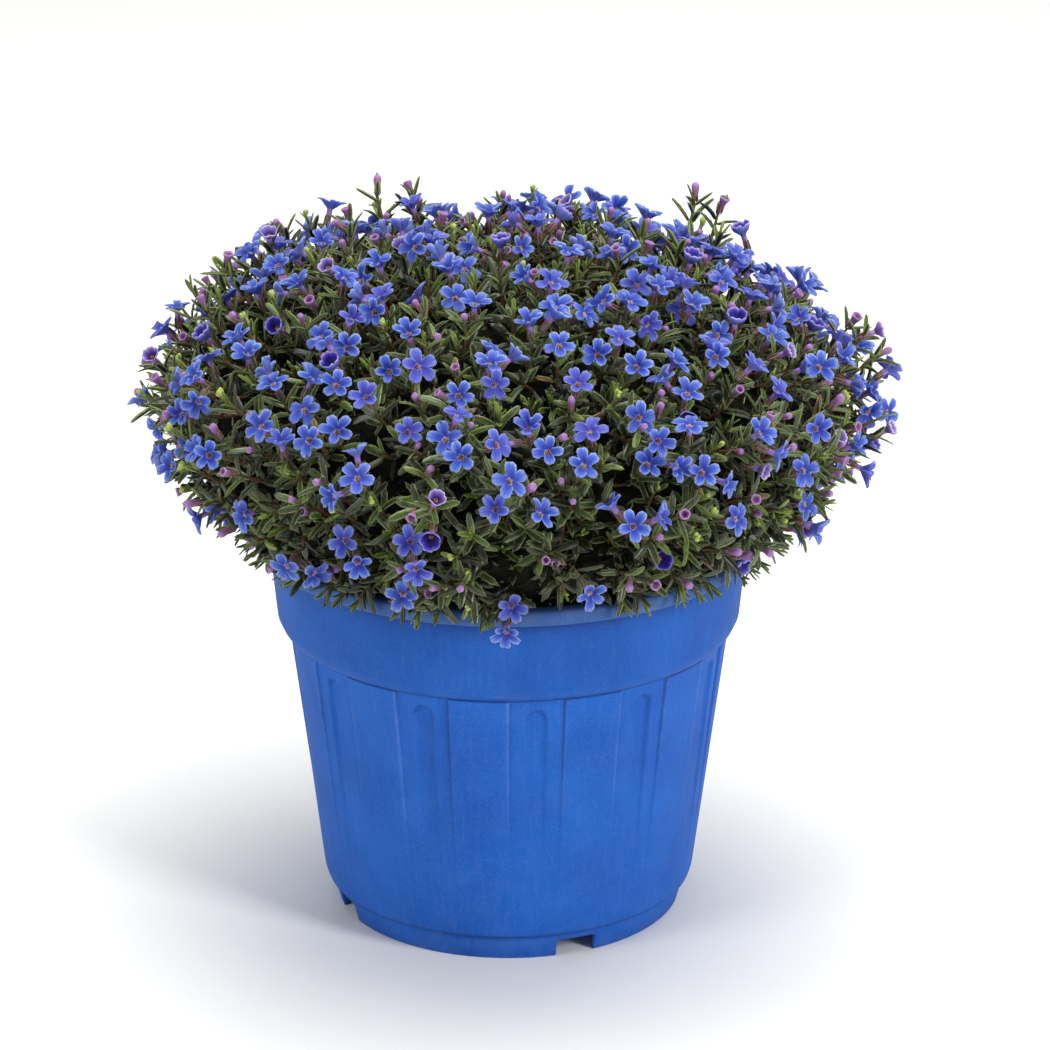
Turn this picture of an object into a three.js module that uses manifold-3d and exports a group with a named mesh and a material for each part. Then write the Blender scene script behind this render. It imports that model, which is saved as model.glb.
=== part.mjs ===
// A potted lithodora: a dome of leafy, flowering branches that stand in the soil of a moulded pot.
// Sizes are millimetres, +Z is up, and the origin is the middle of the pot's foot, on the ground.
// Angles round the pot start at the front, which looks along -Y, and grow towards +X.

import * as THREE from "three";
import { mergeVertices } from "three/addons/utils/BufferGeometryUtils.js";
import Module from "manifold-3d";

const degrees = THREE.MathUtils.degToRad;

// Pot, outside, from the ground up
const FOOT_RADIUS = 58.6;
const FOOT_TOP_RADIUS = 60.8;
const FOOT_HEIGHT = 9.2;
const WALL_FOOT_RADIUS = 62.3;
const WALL_LOW_RADIUS = 63.5;
const WALL_LOW_Z = 12.8;
const WALL_HIGH_RADIUS = 74.8;
const BAND_Z = 99.7;
const BAND_LOW_RADIUS = 77.8;
const BAND_HIGH_RADIUS = 80.7;
const LIP_Z = 129.1;
const LIP_RADIUS = 85;
const LIP_ROUNDING = 1.2;
const POT_HEIGHT = 134.5;
const WALL_SIDES = 72;

// Pot, shallow panels in the wall: every second one of 24 is set back, more so towards its top
const PANEL_TURN = degrees(15);
const PANEL_DEPTH = 1;

// Pot, inside, with the notches and holes that let water out
const WALL_THICKNESS = 1.8;
const INSIDE_SIDES = 24;
const FLOOR_UNDERSIDE_Z = 7;
const FLOOR_Z = 9.4;
const NOTCHES = 4;
const FIRST_NOTCH = degrees(22.5);
const NOTCH_WIDTH = 15;
const NOTCH_HEIGHT = 6.2;
const DRAIN_HOLES = 4;
const DRAIN_RADIUS = 4;
const DRAIN_CIRCLE = 38;

// Soil, which fills the pot to just under its lip, and the clearance between pieces that touch
const SOIL_EDGE_Z = 121;
const SOIL_MIDDLE_Z = 125;
const SOIL_FLAT_RADIUS = 52;
const CLEARANCE = 0.35;

// Bush: its surface is egg-like and rises and falls from its widest level, and everything in it
// radiates from the crown, a point in the soil
const BUSH_RADIUS = 122;
const BUSH_WIDEST_Z = 179;
const BUSH_RISE = 54;
const BUSH_FALL = 60;
const LOWEST_ANGLE = degrees(130);
const CROWN_Z = 118;
const CORE_DEPTH = 24;
const GOLDEN_ANGLE = Math.PI * (3 - Math.sqrt(5));

// Branches: woody stems that rise from the soil, each with a core of twigs under its shoots
const BRANCHES = 36;
const BRANCH_SIDES = 5;
const CROWN_RADIUS = 42;
const STEM_RADIUS = 2.2;
const STEM_FOOT_Z = 112;
const STEM_TOP_Z = 131;
const CORE_SHARE = 0.85;

// Shoots: each leaves its branch's core and ends at the bush's surface
const SHOOTS = 148;
const SHOOT_RADIUS = 1.7;
const ROOT_RADIUS = 0.35;
const SHOOT_ROOT = 8;
const SHOOT_PULL = 0.38;
const TIP_SCATTER = 8;
const MAP_SCATTER = 0.03;
const FORK_LENGTH = 3.5;
const OUTWARD_PULL = 0.6;
const UPWARD_PULL = 0.25;

// Leaves
const LEAF_LENGTH = 12.5;
const LEAF_LENGTH_SHARES = [0.85, 1.1];
const LEAF_WIDTH = 2.9;
const LEAF_THICKNESS = 1.1;
const LEAF_TILT = degrees(54);
const LEAF_BEND = degrees(3);
const LEAF_ATTEMPTS = 9;
const LEAF_WIDEST = 0.42;
const FIRST_LEAF = 0.3;
const SECOND_LEAF_SHARE = 0.4;
const LEAVES_A_BARE_SHOOT = 5;

// Blooms and buds
const PETALS = 5;
const BLOOM_RADIUS = 6.4;
const SIDE_BLOOM_SHARES = [0.84, 0.98];
const NOTCH_SHARE = 0.52;
const THROAT_DEPTH = 1.5;
const FUNNEL_DEPTH = 3.8;
const PEDICEL_RADIUS = 1;
const SIDE_TILT = degrees(56);
const SIDE_LENGTH = 12;
const SIDE_BEND = degrees(9);
const SIDE_ATTEMPTS = 9;
const BUD_RADIUS = 1.4;
const BUD_LENGTH = 5.5;

// The luck above which a shoot has one, two and three blooms, on the upper bush and on its skirt
const SKIRT_ANGLE = degrees(104);
const UPPER_BLOOM_STEPS = [0.1, 0.44, 0.8];
const SKIRT_BLOOM_STEPS = [0.36, 0.8, 1];

const UP = new THREE.Vector3(0, 0, 1);
const FRONT = new THREE.Vector3(0, -1, 0);
const STEEP = 0.85;
const CROWN = new THREE.Vector3(0, 0, CROWN_Z);
const MAP_MIDDLE = new THREE.Vector2();

const wasm = await Module();
wasm.setup();

// Turns a closed three.js geometry into a solid that can be joined and cut.
function solidOf(geometry) {
  const bare = new THREE.BufferGeometry();
  bare.setAttribute("position", geometry.getAttribute("position"));
  bare.setIndex(geometry.getIndex());
  const merged = mergeVertices(bare, 1e-4);
  const corners = merged.getIndex().array;
  const faces = [];
  for (let i = 0; i < corners.length; i += 3) {
    const [a, b, c] = corners.slice(i, i + 3);
    if (a !== b && b !== c && c !== a) faces.push(a, b, c);
  }
  const mesh = new wasm.Mesh({
    numProp: 3,
    vertProperties: new Float32Array(merged.getAttribute("position").array),
    triVerts: new Uint32Array(faces),
  });
  return new wasm.Manifold(mesh);
}

function geometryOf(solid) {
  const mesh = solid.getMesh();
  const geometry = new THREE.BufferGeometry();
  geometry.setAttribute("position", new THREE.BufferAttribute(mesh.vertProperties, 3));
  geometry.setIndex(new THREE.BufferAttribute(mesh.triVerts, 1));
  const faceted = geometry.toNonIndexed();
  faceted.computeVertexNormals();
  return faceted;
}

// A solid of revolution about Z. The profile runs up from the axis and back to it, and reshape,
// where it is given, moves each point's radius by its angle round the axis and its height.
function turned(profile, sides, reshape = (radius) => radius) {
  const points = profile.map(([radius, height]) => new THREE.Vector2(radius, height));
  const geometry = new THREE.LatheGeometry(points, sides);
  const position = geometry.getAttribute("position");
  for (let i = 0; i < position.count; i++) {
    const angle = Math.atan2(position.getX(i), position.getZ(i));
    const radius = Math.hypot(position.getX(i), position.getZ(i));
    const moved = radius < 1e-6 ? 0 : reshape(radius, angle, position.getY(i));
    position.setX(i, moved * Math.sin(angle));
    position.setZ(i, moved * Math.cos(angle));
  }
  geometry.rotateX(Math.PI / 2);
  return solidOf(geometry);
}

function prism(sides, radius, x, y, bottomZ, topZ) {
  const geometry = new THREE.CylinderGeometry(radius, radius, topZ - bottomZ, sides);
  geometry.rotateX(Math.PI / 2);
  geometry.translate(x, y, (bottomZ + topZ) / 2);
  return solidOf(geometry);
}

// A solid skinned over rings of points, in order; a ring of one point is a tip. Each ring turns
// left about the way that the solid grows, and neighbouring rings may differ in their counts.
function skinned(rings) {
  const positions = [];
  const faces = [];
  const numbered = rings.map((points) =>
    points.map((point) => {
      positions.push(point.x, point.y, point.z);
      return positions.length / 3 - 1;
    }),
  );
  const face = (a, b, c) => {
    if (a !== b && b !== c && c !== a) faces.push(a, b, c);
  };
  for (let level = 0; level + 1 < numbered.length; level++) {
    const low = numbered[level];
    const high = numbered[level + 1];
    let i = 0;
    let j = 0;
    while (i < low.length || j < high.length) {
      const a = low[i % low.length];
      const b = high[j % high.length];
      const lowIsNext = (i + 1) / low.length <= (j + 1) / high.length;
      if (j === high.length || (i < low.length && lowIsNext)) {
        face(a, low[(i + 1) % low.length], b);
        i++;
      } else {
        face(a, high[(j + 1) % high.length], b);
        j++;
      }
    }
  }
  const foot = numbered[0];
  const head = numbered[numbered.length - 1];
  for (let i = 1; i + 1 < foot.length; i++) face(foot[0], foot[i + 1], foot[i]);
  for (let i = 1; i + 1 < head.length; i++) face(head[0], head[i], head[i + 1]);
  const geometry = new THREE.BufferGeometry();
  geometry.setAttribute("position", new THREE.Float32BufferAttribute(positions, 3));
  geometry.setIndex(faces);
  return solidOf(geometry);
}

function stepped(point, way, distance) {
  return point.clone().addScaledVector(way, distance);
}

// Points round an axis that passes through centre. radiusAt gives the radius of each point, and
// rings that share a reference way start on the same side of their axes.
function ringAbout(centre, axis, count, radiusAt, turn, reference) {
  const [side, front] = crossDirections(axis, reference);
  return Array.from({ length: count }, (_, i) => {
    const angle = turn + (i * 2 * Math.PI) / count;
    const point = centre.clone();
    point.addScaledVector(side, radiusAt(i) * Math.cos(angle));
    point.addScaledVector(front, radiusAt(i) * Math.sin(angle));
    return point;
  });
}

function crossDirections(axis, reference) {
  const side = new THREE.Vector3().crossVectors(reference, axis).normalize();
  const front = new THREE.Vector3().crossVectors(axis, side);
  return [side, front];
}

function leaning(axis, spin, tilt, reference) {
  const [side, front] = crossDirections(axis, reference);
  const across = side.multiplyScalar(Math.cos(spin)).addScaledVector(front, Math.sin(spin));
  return axis.clone().multiplyScalar(Math.cos(tilt)).addScaledVector(across, Math.sin(tilt));
}

// Pot

function wallRadius(height) {
  const climb = (height - WALL_LOW_Z) / (BAND_Z - WALL_LOW_Z);
  return THREE.MathUtils.lerp(WALL_LOW_RADIUS, WALL_HIGH_RADIUS, climb);
}

function panelled(radius, angle, height) {
  const turn = THREE.MathUtils.euclideanModulo(angle, 2 * PANEL_TURN);
  const margin = PANEL_TURN / 6;
  const isSetBack = turn > margin && turn < PANEL_TURN - margin && radius <= WALL_HIGH_RADIUS;
  const climb = THREE.MathUtils.clamp((height - WALL_LOW_Z) / (BAND_Z - WALL_LOW_Z), 0, 1);
  return isSetBack ? radius - PANEL_DEPTH * climb : radius;
}

// The pot's inside up to a height, drawn in by a clearance where the soil's outside is wanted.
function insideProfile(topZ, clearance) {
  const spread = (BAND_HIGH_RADIUS - BAND_LOW_RADIUS) / (LIP_Z - BAND_Z);
  const stepZ = BAND_Z + WALL_THICKNESS;
  const wallInset = WALL_THICKNESS + PANEL_DEPTH + clearance;
  const bandRadius = (height) =>
    BAND_LOW_RADIUS + spread * (height - BAND_Z) - WALL_THICKNESS - clearance;
  return [
    [0, FLOOR_Z + clearance],
    [wallRadius(FLOOR_Z) - wallInset, FLOOR_Z + clearance],
    [WALL_HIGH_RADIUS - wallInset, stepZ + clearance],
    [bandRadius(stepZ), stepZ + clearance],
    [bandRadius(topZ), topZ],
  ];
}

function potSolid() {
  const outside = turned(
    [
      [0, 0],
      [FOOT_RADIUS, 0],
      [FOOT_TOP_RADIUS, FOOT_HEIGHT],
      [WALL_FOOT_RADIUS, FOOT_HEIGHT],
      [WALL_LOW_RADIUS, WALL_LOW_Z],
      [WALL_HIGH_RADIUS, BAND_Z],
      [BAND_LOW_RADIUS, BAND_Z],
      [BAND_HIGH_RADIUS, LIP_Z],
      [LIP_RADIUS, LIP_Z],
      [LIP_RADIUS, POT_HEIGHT - LIP_ROUNDING],
      [LIP_RADIUS - LIP_ROUNDING, POT_HEIGHT],
      [0, POT_HEIGHT],
    ],
    WALL_SIDES,
    panelled,
  );
  const inside = turned([...insideProfile(POT_HEIGHT + 1, 0), [0, POT_HEIGHT + 1]], INSIDE_SIDES);
  const underRadius = FOOT_RADIUS - WALL_THICKNESS;
  const under = turned(
    [
      [0, -1],
      [underRadius, -1],
      [underRadius, FLOOR_UNDERSIDE_Z],
      [0, FLOOR_UNDERSIDE_Z],
    ],
    INSIDE_SIDES,
  );
  const cuts = [inside, under];
  for (let i = 0; i < NOTCHES; i++) {
    const notch = new THREE.BoxGeometry(NOTCH_WIDTH, 4 * WALL_THICKNESS, NOTCH_HEIGHT + 1);
    notch.translate(0, -FOOT_RADIUS, (NOTCH_HEIGHT - 1) / 2);
    notch.rotateZ(FIRST_NOTCH + (i * 2 * Math.PI) / NOTCHES);
    cuts.push(solidOf(notch));
  }
  for (let i = 0; i < DRAIN_HOLES; i++) {
    const angle = (i * 2 * Math.PI) / DRAIN_HOLES;
    const [x, y] = [DRAIN_CIRCLE * Math.sin(angle), -DRAIN_CIRCLE * Math.cos(angle)];
    cuts.push(prism(8, DRAIN_RADIUS, x, y, FLOOR_UNDERSIDE_Z - 1, FLOOR_Z + 1));
  }
  return outside.subtract(wasm.Manifold.union(cuts));
}

// Soil, with a plain hole for each branch's stem

function soilSolid(branches) {
  const top = [
    [SOIL_FLAT_RADIUS, SOIL_MIDDLE_Z],
    [0, SOIL_MIDDLE_Z],
  ];
  const profile = [...insideProfile(SOIL_EDGE_Z, CLEARANCE), ...top];
  const holeRadius = (STEM_RADIUS + CLEARANCE) * Math.SQRT2;
  const holes = branches.map(({ place }) => {
    const { x, y } = toGround(place.clone().multiplyScalar(CROWN_RADIUS), 0);
    return prism(4, holeRadius, x, y, STEM_FOOT_Z - CLEARANCE, SOIL_MIDDLE_Z + 1);
  });
  return turned(profile, INSIDE_SIDES).subtract(wasm.Manifold.union(holes));
}

// Bush: the places of its branches and shoots

// Draws between 0 and 1, the same each time for the same number.
function drawsFor(number) {
  let state = 7919 * (number + 1);
  const draw = () => {
    state = (state * 16807) % 2147483647;
    return state / 2147483647;
  };
  draw();
  draw();
  return draw;
}

// The map's first axis is the front of the pot and its second one is the pot's +X side.
function toGround(place, height) {
  return new THREE.Vector3(place.y, -place.x, height);
}

function bushHeight(angle) {
  return angle < Math.PI / 2 ? BUSH_RISE : BUSH_FALL;
}

// The bush's area from its top down to each of many angles, to spread shoots evenly over it.
const AREA_STEPS = 256;
const areaAbove = [0];
for (let i = 0; i < AREA_STEPS; i++) {
  const angle = ((i + 0.5) * LOWEST_ANGLE) / AREA_STEPS;
  const slope = Math.hypot(BUSH_RADIUS * Math.cos(angle), bushHeight(angle) * Math.sin(angle));
  areaAbove.push(areaAbove[i] + Math.sin(angle) * slope);
}

function angleAtShare(share) {
  const wanted = share * areaAbove[AREA_STEPS];
  const next = Math.max(1, areaAbove.findIndex((area) => area >= wanted));
  const before = areaAbove[next - 1];
  const part = (wanted - before) / (areaAbove[next] - before);
  return ((next - 1 + part) * LOWEST_ANGLE) / AREA_STEPS;
}

// The bush is laid out on a round map of radius 1: its middle is the bush's top, its edge the
// skirt, and equal areas of the map are equal areas of the bush.
function mapPlace(number, count) {
  const place = new THREE.Vector2(Math.sqrt((number + 0.5) / count), 0);
  return place.rotateAround(MAP_MIDDLE, number * GOLDEN_ANGLE);
}

function mapAngles(place) {
  return { angle: angleAtShare(Math.min(1 - 1e-9, place.lengthSq())), azimuth: place.angle() };
}

// A point on the bush's surface, and the way out of the surface there.
function surfacePoint({ angle, azimuth }) {
  const reach = BUSH_RADIUS * Math.sin(angle);
  const z = BUSH_WIDEST_Z + bushHeight(angle) * Math.cos(angle);
  return new THREE.Vector3(reach * Math.sin(azimuth), -reach * Math.cos(azimuth), z);
}

function surfaceNormal({ angle, azimuth }) {
  const outward = bushHeight(angle) * Math.sin(angle);
  const z = BUSH_RADIUS * Math.cos(angle);
  return new THREE.Vector3(outward * Math.sin(azimuth), -outward * Math.cos(azimuth), z).normalize();
}

// The top of the twiggy cores lies a constant depth under the surface, towards the crown.
function corePoint(place) {
  const point = surfacePoint(mapAngles(place));
  return stepped(point, CROWN.clone().sub(point).normalize(), CORE_DEPTH);
}

function placeBranches() {
  return Array.from({ length: BRANCHES }, (_, i) => ({ place: mapPlace(i, BRANCHES), parts: [] }));
}

function nearestBranch(place, branches) {
  return branches.reduce((nearest, branch) =>
    place.distanceTo(branch.place) < place.distanceTo(nearest.place) ? branch : nearest,
  );
}

// How many blooms a shoot carries. The upper bush is full of them, and its skirt is leafier.
function bloomCount(angle, luck) {
  const steps = angle < SKIRT_ANGLE ? UPPER_BLOOM_STEPS : SKIRT_BLOOM_STEPS;
  return steps.filter((step) => luck > step).length;
}

// A shoot's stem runs straight from its root, sunk in its branch's core, to the neck of its bloom.
function placeShoot(number, branches) {
  const draw = drawsFor(number);
  const scatter = new THREE.Vector2(draw() - 0.5, draw() - 0.5).multiplyScalar(MAP_SCATTER);
  const place = mapPlace(number, SHOOTS).add(scatter).clampLength(0, 1);
  const angles = mapAngles(place);
  const outward = surfaceNormal(angles);
  const tip = stepped(surfacePoint(angles), outward, TIP_SCATTER * (draw() - 0.5));
  const branch = nearestBranch(place, branches);
  const skin = corePoint(place.clone().lerp(branch.place, SHOOT_PULL));
  const facing = tip.clone().sub(skin).normalize();
  facing.addScaledVector(outward, OUTWARD_PULL).addScaledVector(UP, UPWARD_PULL).normalize();
  const neck = stepped(tip, facing, -FUNNEL_DEPTH);
  const along = neck.clone().sub(skin).normalize();
  const root = stepped(skin, along, -SHOOT_ROOT);
  const fork = stepped(neck, along, -FORK_LENGTH);
  const blooms = bloomCount(angles.angle, draw());
  const turn = 2 * Math.PI * draw();
  const reference = Math.abs(along.z) < STEEP ? UP : FRONT;
  return { branch, root, skin, fork, tip, along, facing, turn, reference, blooms, draw };
}

// The room taken by pieces of the bush, as balls, so that a leaf is bent clear of other branches

const CELL = 8;
const TUBE_BALL_RADIUS = 1.6;
const LOBE_BALLS = [
  { share: 0.45, size: 2 },
  { share: 0.8, size: 1.5 },
];
const claimed = new Map();

function cellKey(x, y, z) {
  return `${Math.floor(x / CELL)},${Math.floor(y / CELL)},${Math.floor(z / CELL)}`;
}

function claim(branch, balls) {
  for (const ball of balls) {
    const key = cellKey(ball.x, ball.y, ball.z);
    if (!claimed.has(key)) claimed.set(key, []);
    claimed.get(key).push({ branch, ball });
  }
}

function meetsPot({ x, y, z, radius }) {
  const reach = Math.hypot(x, y);
  const room = radius + CLEARANCE;
  if (z - room > POT_HEIGHT) return false;
  if (reach < BAND_LOW_RADIUS) return z - room < SOIL_MIDDLE_Z;
  return reach - room < LIP_RADIUS;
}

function neighbours(ball) {
  const near = [];
  for (const dx of [-CELL, 0, CELL])
    for (const dy of [-CELL, 0, CELL])
      for (const dz of [-CELL, 0, CELL])
        near.push(...(claimed.get(cellKey(ball.x + dx, ball.y + dy, ball.z + dz)) ?? []));
  return near;
}

// Whether balls are clear of the pot and of other branches, and from the given one on also of
// the branch's own pieces.
function isFree(branch, balls, ownFrom) {
  return balls.every((ball, i) => {
    if (meetsPot(ball)) return false;
    return neighbours(ball).every((other) => {
      const isOwn = other.branch === branch;
      if (isOwn && i < ownFrom) return true;
      const apart = Math.hypot(ball.x - other.ball.x, ball.y - other.ball.y, ball.z - other.ball.z);
      return apart > ball.radius + other.ball.radius + (isOwn ? 0 : CLEARANCE);
    });
  });
}

function ballsAlong(start, end, count, radiusAt) {
  return Array.from({ length: count }, (_, i) => {
    const part = i / (count - 1);
    const point = start.clone().lerp(end, part);
    return { x: point.x, y: point.y, z: point.z, radius: radiusAt(part) };
  });
}

// Pieces of a shoot

// An open bloom on its stalk: a slim tube that widens into a star of five lobes round a throat.
function bloomOnStalk({ start, middle, facing, radius, startRadius, turn, reference }) {
  const neck = stepped(middle, facing, -FUNNEL_DEPTH);
  const stalk = neck.clone().sub(start).normalize();
  const lobeRadius = (i) => radius * (i % 2 ? NOTCH_SHARE : 1);
  return skinned([
    ringAbout(start, stalk, 3, () => startRadius, turn, reference),
    ringAbout(neck, facing, 3, () => PEDICEL_RADIUS, turn, reference),
    ringAbout(middle, facing, 2 * PETALS, lobeRadius, turn, reference),
    [stepped(middle, facing, -THROAT_DEPTH)],
  ]);
}

function bloomBalls({ middle, facing, radius, turn, reference }) {
  const neck = stepped(middle, facing, -FUNNEL_DEPTH);
  const balls = ballsAlong(middle, neck, 4, () => TUBE_BALL_RADIUS);
  for (const { share, size } of LOBE_BALLS)
    for (const point of ringAbout(middle, facing, PETALS, () => share * radius, turn, reference))
      balls.push({ x: point.x, y: point.y, z: point.z, radius: size });
  return balls;
}

function budOnStalk({ start, middle, facing, startRadius, turn, reference }) {
  const stalk = middle.clone().sub(start).normalize();
  return skinned([
    ringAbout(start, stalk, 3, () => startRadius, turn, reference),
    ringAbout(middle, facing, 3, () => BUD_RADIUS, turn, reference),
    [stepped(middle, facing, BUD_LENGTH)],
  ]);
}

// A leaf is a slim four-faced blade: a keel runs from its sunk root to its tip, and its two
// edges meet the widest line above the keel.
function leafBlade(foot, direction, stem, length) {
  const side = new THREE.Vector3().crossVectors(stem, direction).normalize();
  const above = new THREE.Vector3().crossVectors(direction, side);
  const middle = stepped(stepped(foot, direction, LEAF_WIDEST * length), above, LEAF_THICKNESS);
  const geometry = new THREE.BufferGeometry().setFromPoints([
    stepped(foot, direction, -ROOT_RADIUS),
    stepped(foot, direction, length),
    stepped(middle, side, LEAF_WIDTH / 2),
    stepped(middle, side, -LEAF_WIDTH / 2),
  ]);
  geometry.setIndex([0, 3, 2, 1, 2, 3, 0, 2, 1, 0, 1, 3]);
  return solidOf(geometry);
}

// The shoot's stem ends in a bloom, or in a bud on a leafy shoot.
function addStem(shoot) {
  const { branch, root, fork, tip, facing, turn, reference } = shoot;
  const stem = { start: root, startRadius: SHOOT_RADIUS, middle: tip, facing, turn, reference };
  claim(branch, ballsAlong(root, fork, 9, () => SHOOT_RADIUS));
  if (shoot.blooms) {
    const bloom = { ...stem, radius: BLOOM_RADIUS };
    claim(branch, bloomBalls(bloom));
    branch.parts.push(bloomOnStalk(bloom));
  } else {
    claim(branch, ballsAlong(tip, stepped(tip, facing, BUD_LENGTH), 4, () => BUD_RADIUS));
    branch.parts.push(budOnStalk(stem));
  }
}

// Side blooms lean out from the faces of the stem, each on the first face where it is clear.
function addSideBlooms({ branch, fork, along, draw, turn, reference, blooms }) {
  for (let i = 1; i < blooms; i++) {
    const radius = BLOOM_RADIUS * THREE.MathUtils.lerp(...SIDE_BLOOM_SHARES, draw());
    for (let attempt = 0; attempt < SIDE_ATTEMPTS; attempt++) {
      const spin = turn + Math.PI / 3 + ((i + attempt) * 2 * Math.PI) / 3;
      const tilt = SIDE_TILT - SIDE_BEND * Math.floor(attempt / 3);
      const facing = leaning(along, spin, tilt, reference);
      const middle = stepped(fork, facing, SIDE_LENGTH);
      const startRadius = ROOT_RADIUS;
      const bloom = { start: fork, startRadius, middle, facing, radius, turn: spin, reference };
      const balls = bloomBalls(bloom);
      if (!isFree(branch, balls, 0)) continue;
      claim(branch, [...balls, ...ballsAlong(fork, middle, 5, () => PEDICEL_RADIUS)]);
      branch.parts.push(bloomOnStalk(bloom));
      break;
    }
  }
}

// Leaves leave the faces of the stem too, and each one is bent until it is clear.
function addLeaves({ branch, skin, fork, along, draw, turn, reference, blooms }) {
  const few = draw() < SECOND_LEAF_SHARE ? 2 : 1;
  const wanted = blooms ? few : LEAVES_A_BARE_SHOOT;
  for (let i = 0; i < wanted; i++) {
    const foot = skin.clone().lerp(fork, THREE.MathUtils.lerp(FIRST_LEAF, 1, (i + 0.5) / wanted));
    const firstFace = i + Math.floor(3 * draw());
    const length = LEAF_LENGTH * THREE.MathUtils.lerp(...LEAF_LENGTH_SHARES, draw());
    for (let attempt = 0; attempt < LEAF_ATTEMPTS; attempt++) {
      const spin = turn + Math.PI / 3 + ((firstFace + attempt) * 2 * Math.PI) / 3;
      const direction = leaning(along, spin, LEAF_TILT - attempt * LEAF_BEND, reference);
      const balls = ballsAlong(foot, stepped(foot, direction, length), 9, (part) => 1.45 - part ** 3);
      if (!isFree(branch, balls.slice(1), 3)) continue;
      claim(branch, balls);
      branch.parts.push(leafBlade(foot, direction, along, length));
      break;
    }
  }
}

// Branches: a stem from the soil that spreads into a core of twigs

// How far a branch's own part of the map reaches from its place, along a way.
function mapReach({ place }, way, branches) {
  let reach = Math.sqrt(1 - place.lengthSq() + place.dot(way) ** 2) - place.dot(way);
  for (const other of branches) {
    const apart = other.place.clone().sub(place);
    const towards = apart.dot(way);
    if (towards > 0) reach = Math.min(reach, apart.lengthSq() / (2 * towards));
  }
  return reach;
}

function branchSolid(branch, branches) {
  const foot = branch.place.clone().multiplyScalar(CROWN_RADIUS);
  const ways = Array.from({ length: BRANCH_SIDES }, (_, i) =>
    new THREE.Vector2(1, 0).rotateAround(MAP_MIDDLE, (i * 2 * Math.PI) / BRANCH_SIDES),
  );
  const stemRing = (height) =>
    ways.map((way) => toGround(foot.clone().addScaledVector(way, STEM_RADIUS), height));
  const edge = ways.map((way) =>
    corePoint(branch.place.clone().addScaledVector(way, CORE_SHARE * mapReach(branch, way, branches))),
  );
  return skinned([stemRing(STEM_FOOT_Z), stemRing(STEM_TOP_Z), edge, [corePoint(branch.place)]]);
}

// The whole part

const materials = {
  pot: new THREE.MeshStandardMaterial({ color: 0x2c60b4, roughness: 0.55, metalness: 0 }),
  soil: new THREE.MeshStandardMaterial({ color: 0x33261c, roughness: 0.95, metalness: 0 }),
  foliage: new THREE.MeshStandardMaterial({ color: 0x4c6a35, roughness: 0.8, metalness: 0 }),
};

function named(name, solid, material) {
  const mesh = new THREE.Mesh(geometryOf(solid), material);
  mesh.name = name;
  return mesh;
}

const branches = placeBranches();
const shoots = Array.from({ length: SHOOTS }, (_, number) => placeShoot(number, branches));
for (const branch of branches) branch.parts.push(branchSolid(branch, branches));
shoots.forEach(addStem);
shoots.forEach(addSideBlooms);
shoots.forEach(addLeaves);

const group = new THREE.Group();
group.name = "potted_lithodora";
group.add(named("pot", potSolid(), materials.pot));
group.add(named("soil", soilSolid(branches), materials.soil));
branches.forEach((branch, i) => {
  const number = String(i + 1).padStart(2, "0");
  group.add(named(`branch_${number}`, wasm.Manifold.union(branch.parts), materials.foliage));
});

export default group;
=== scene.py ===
# A lithodora in bloom in its pot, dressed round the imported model.
# Lengths are millimetres and become metres when a mesh is made. Angles round the pot start at
# the front, which looks along -Y, and grow towards +X.

import math

import bmesh
import bpy
import numpy as np
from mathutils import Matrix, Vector, noise


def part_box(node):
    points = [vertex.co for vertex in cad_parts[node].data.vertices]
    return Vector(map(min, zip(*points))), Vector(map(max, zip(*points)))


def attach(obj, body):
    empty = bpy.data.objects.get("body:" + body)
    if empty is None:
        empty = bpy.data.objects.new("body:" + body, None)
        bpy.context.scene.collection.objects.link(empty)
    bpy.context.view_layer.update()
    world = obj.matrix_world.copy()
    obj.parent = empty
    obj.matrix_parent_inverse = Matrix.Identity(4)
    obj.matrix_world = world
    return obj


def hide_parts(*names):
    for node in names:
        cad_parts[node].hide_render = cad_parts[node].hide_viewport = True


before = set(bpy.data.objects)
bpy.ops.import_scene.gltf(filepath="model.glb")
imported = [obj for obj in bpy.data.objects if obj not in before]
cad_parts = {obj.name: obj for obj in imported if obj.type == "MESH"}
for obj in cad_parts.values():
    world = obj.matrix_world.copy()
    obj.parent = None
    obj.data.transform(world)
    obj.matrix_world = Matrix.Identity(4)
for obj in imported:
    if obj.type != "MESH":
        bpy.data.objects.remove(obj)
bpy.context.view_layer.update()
MM = 0.001

# Studio: the plant stands on a pale matt board under a softbox at the front right, a larger one
# at the left and a broad panel overhead. The camera looks down on it by 20 degrees.

CAMERA_DISTANCE = 1600
CAMERA_PITCH = math.radians(20.17)
CAMERA_AIM = Vector((5.6, 0, 133.4))
SENSOR_WIDTH = 36
FOCAL_PIXELS = 4743
PHOTO_PIXELS = 1050
SKY_STRENGTH = 0.24
BOARD_SIZE = 9000


def linear(hex_colour):
    """An sRGB hex colour as the linear colour that a socket takes."""
    parts = [int(hex_colour[i : i + 2], 16) / 255 for i in (1, 3, 5)]
    return [p / 12.92 if p <= 0.04045 else ((p + 0.055) / 1.055) ** 2.4 for p in parts] + [1]


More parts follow.
